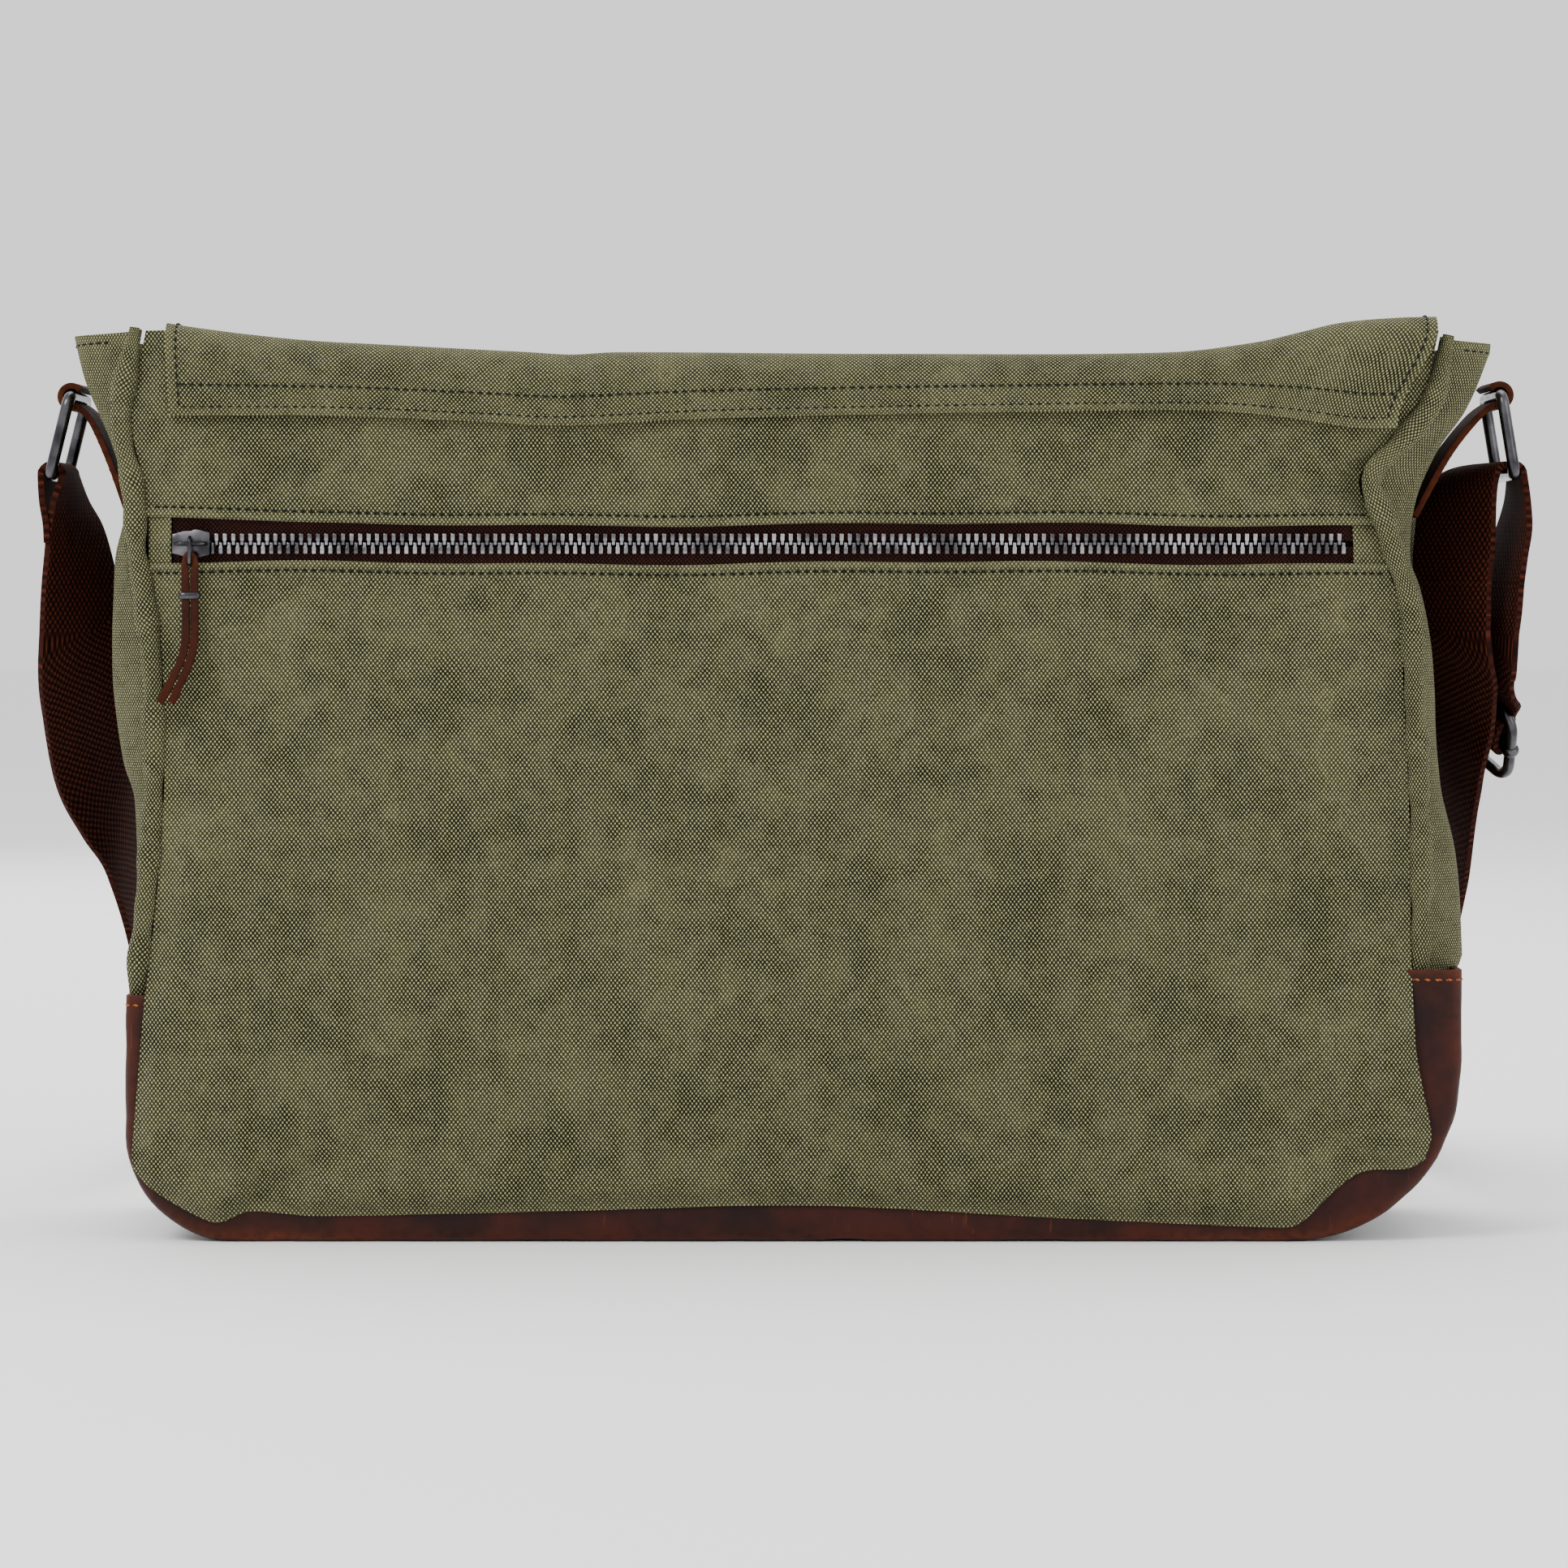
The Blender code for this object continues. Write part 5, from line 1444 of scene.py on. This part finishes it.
def make_stage():
    """The pale floor, the white surround and four soft lamps."""
    bm = bmesh.new()
    bmesh.ops.create_grid(bm, x_segments=1, y_segments=1, size=12)
    mesh = bpy.data.meshes.new("floor")
    bm.to_mesh(mesh)
    bm.free()
    made, _, shader = new_material("pale_floor", Roughness=0.9)
    shader.inputs["Base Color"].default_value = linear("#FAFAFA")
    mesh.materials.append(made)
    floor = bpy.data.objects.new("floor", mesh)
    bpy.context.scene.collection.objects.link(floor)
    world = bpy.data.worlds.new("studio")
    world.use_nodes = True
    world.node_tree.nodes["Background"].inputs[0].default_value = (1, 1, 1, 1)
    world.node_tree.nodes["Background"].inputs[1].default_value = 1.25
    bpy.context.scene.world = world
    for name, at, size, power in (
        ("key", (-1.3, -1.5, 2.0), 1.0, 42), ("fill", (1.7, -1.2, 0.9), 1.3, 10),
        ("top", (0.2, 0.8, 2.2), 1.6, 26), ("behind", (-0.8, 2.0, 1.2), 1.4, 18),
    ):
        lamp = bpy.data.lights.new(name, "AREA")
        lamp.size = size
        lamp.energy = power
        obj = bpy.data.objects.new(name, lamp)
        obj.location = at
        obj.rotation_euler = (Vector((0, 0, 0.14)) - Vector(at)).to_track_quat("-Z", "Y").to_euler()
        bpy.context.scene.collection.objects.link(obj)


def make_camera():
    """A long lens, straight behind the bag and a little above its middle."""
    distance, aim = 1.8, Vector((-0.003, -0.050, 0.1437))
    lift = math.radians(2)
    lens = bpy.data.cameras.new("camera")
    lens.sensor_width = 36
    lens.lens = 36 * distance / 0.4917
    lens.clip_start = 0.05
    camera = bpy.data.objects.new("camera", lens)
    camera.location = aim + Vector((0, -math.cos(lift), math.sin(lift))) * distance
    camera.rotation_euler = (aim - camera.location).to_track_quat("-Z", "Y").to_euler()
    bpy.context.scene.collection.objects.link(camera)
    bpy.context.scene.camera = camera


make_camera()
make_stage()
make_base()
make_back_panels()
make_front_panel()
for side in (-1, 1):
    make_side(side)
    make_hardware(side)
make_zip()
make_slider()
make_pull()
make_flap()
make_inside()
make_strap()
make_adjuster()
make_outer_layer()
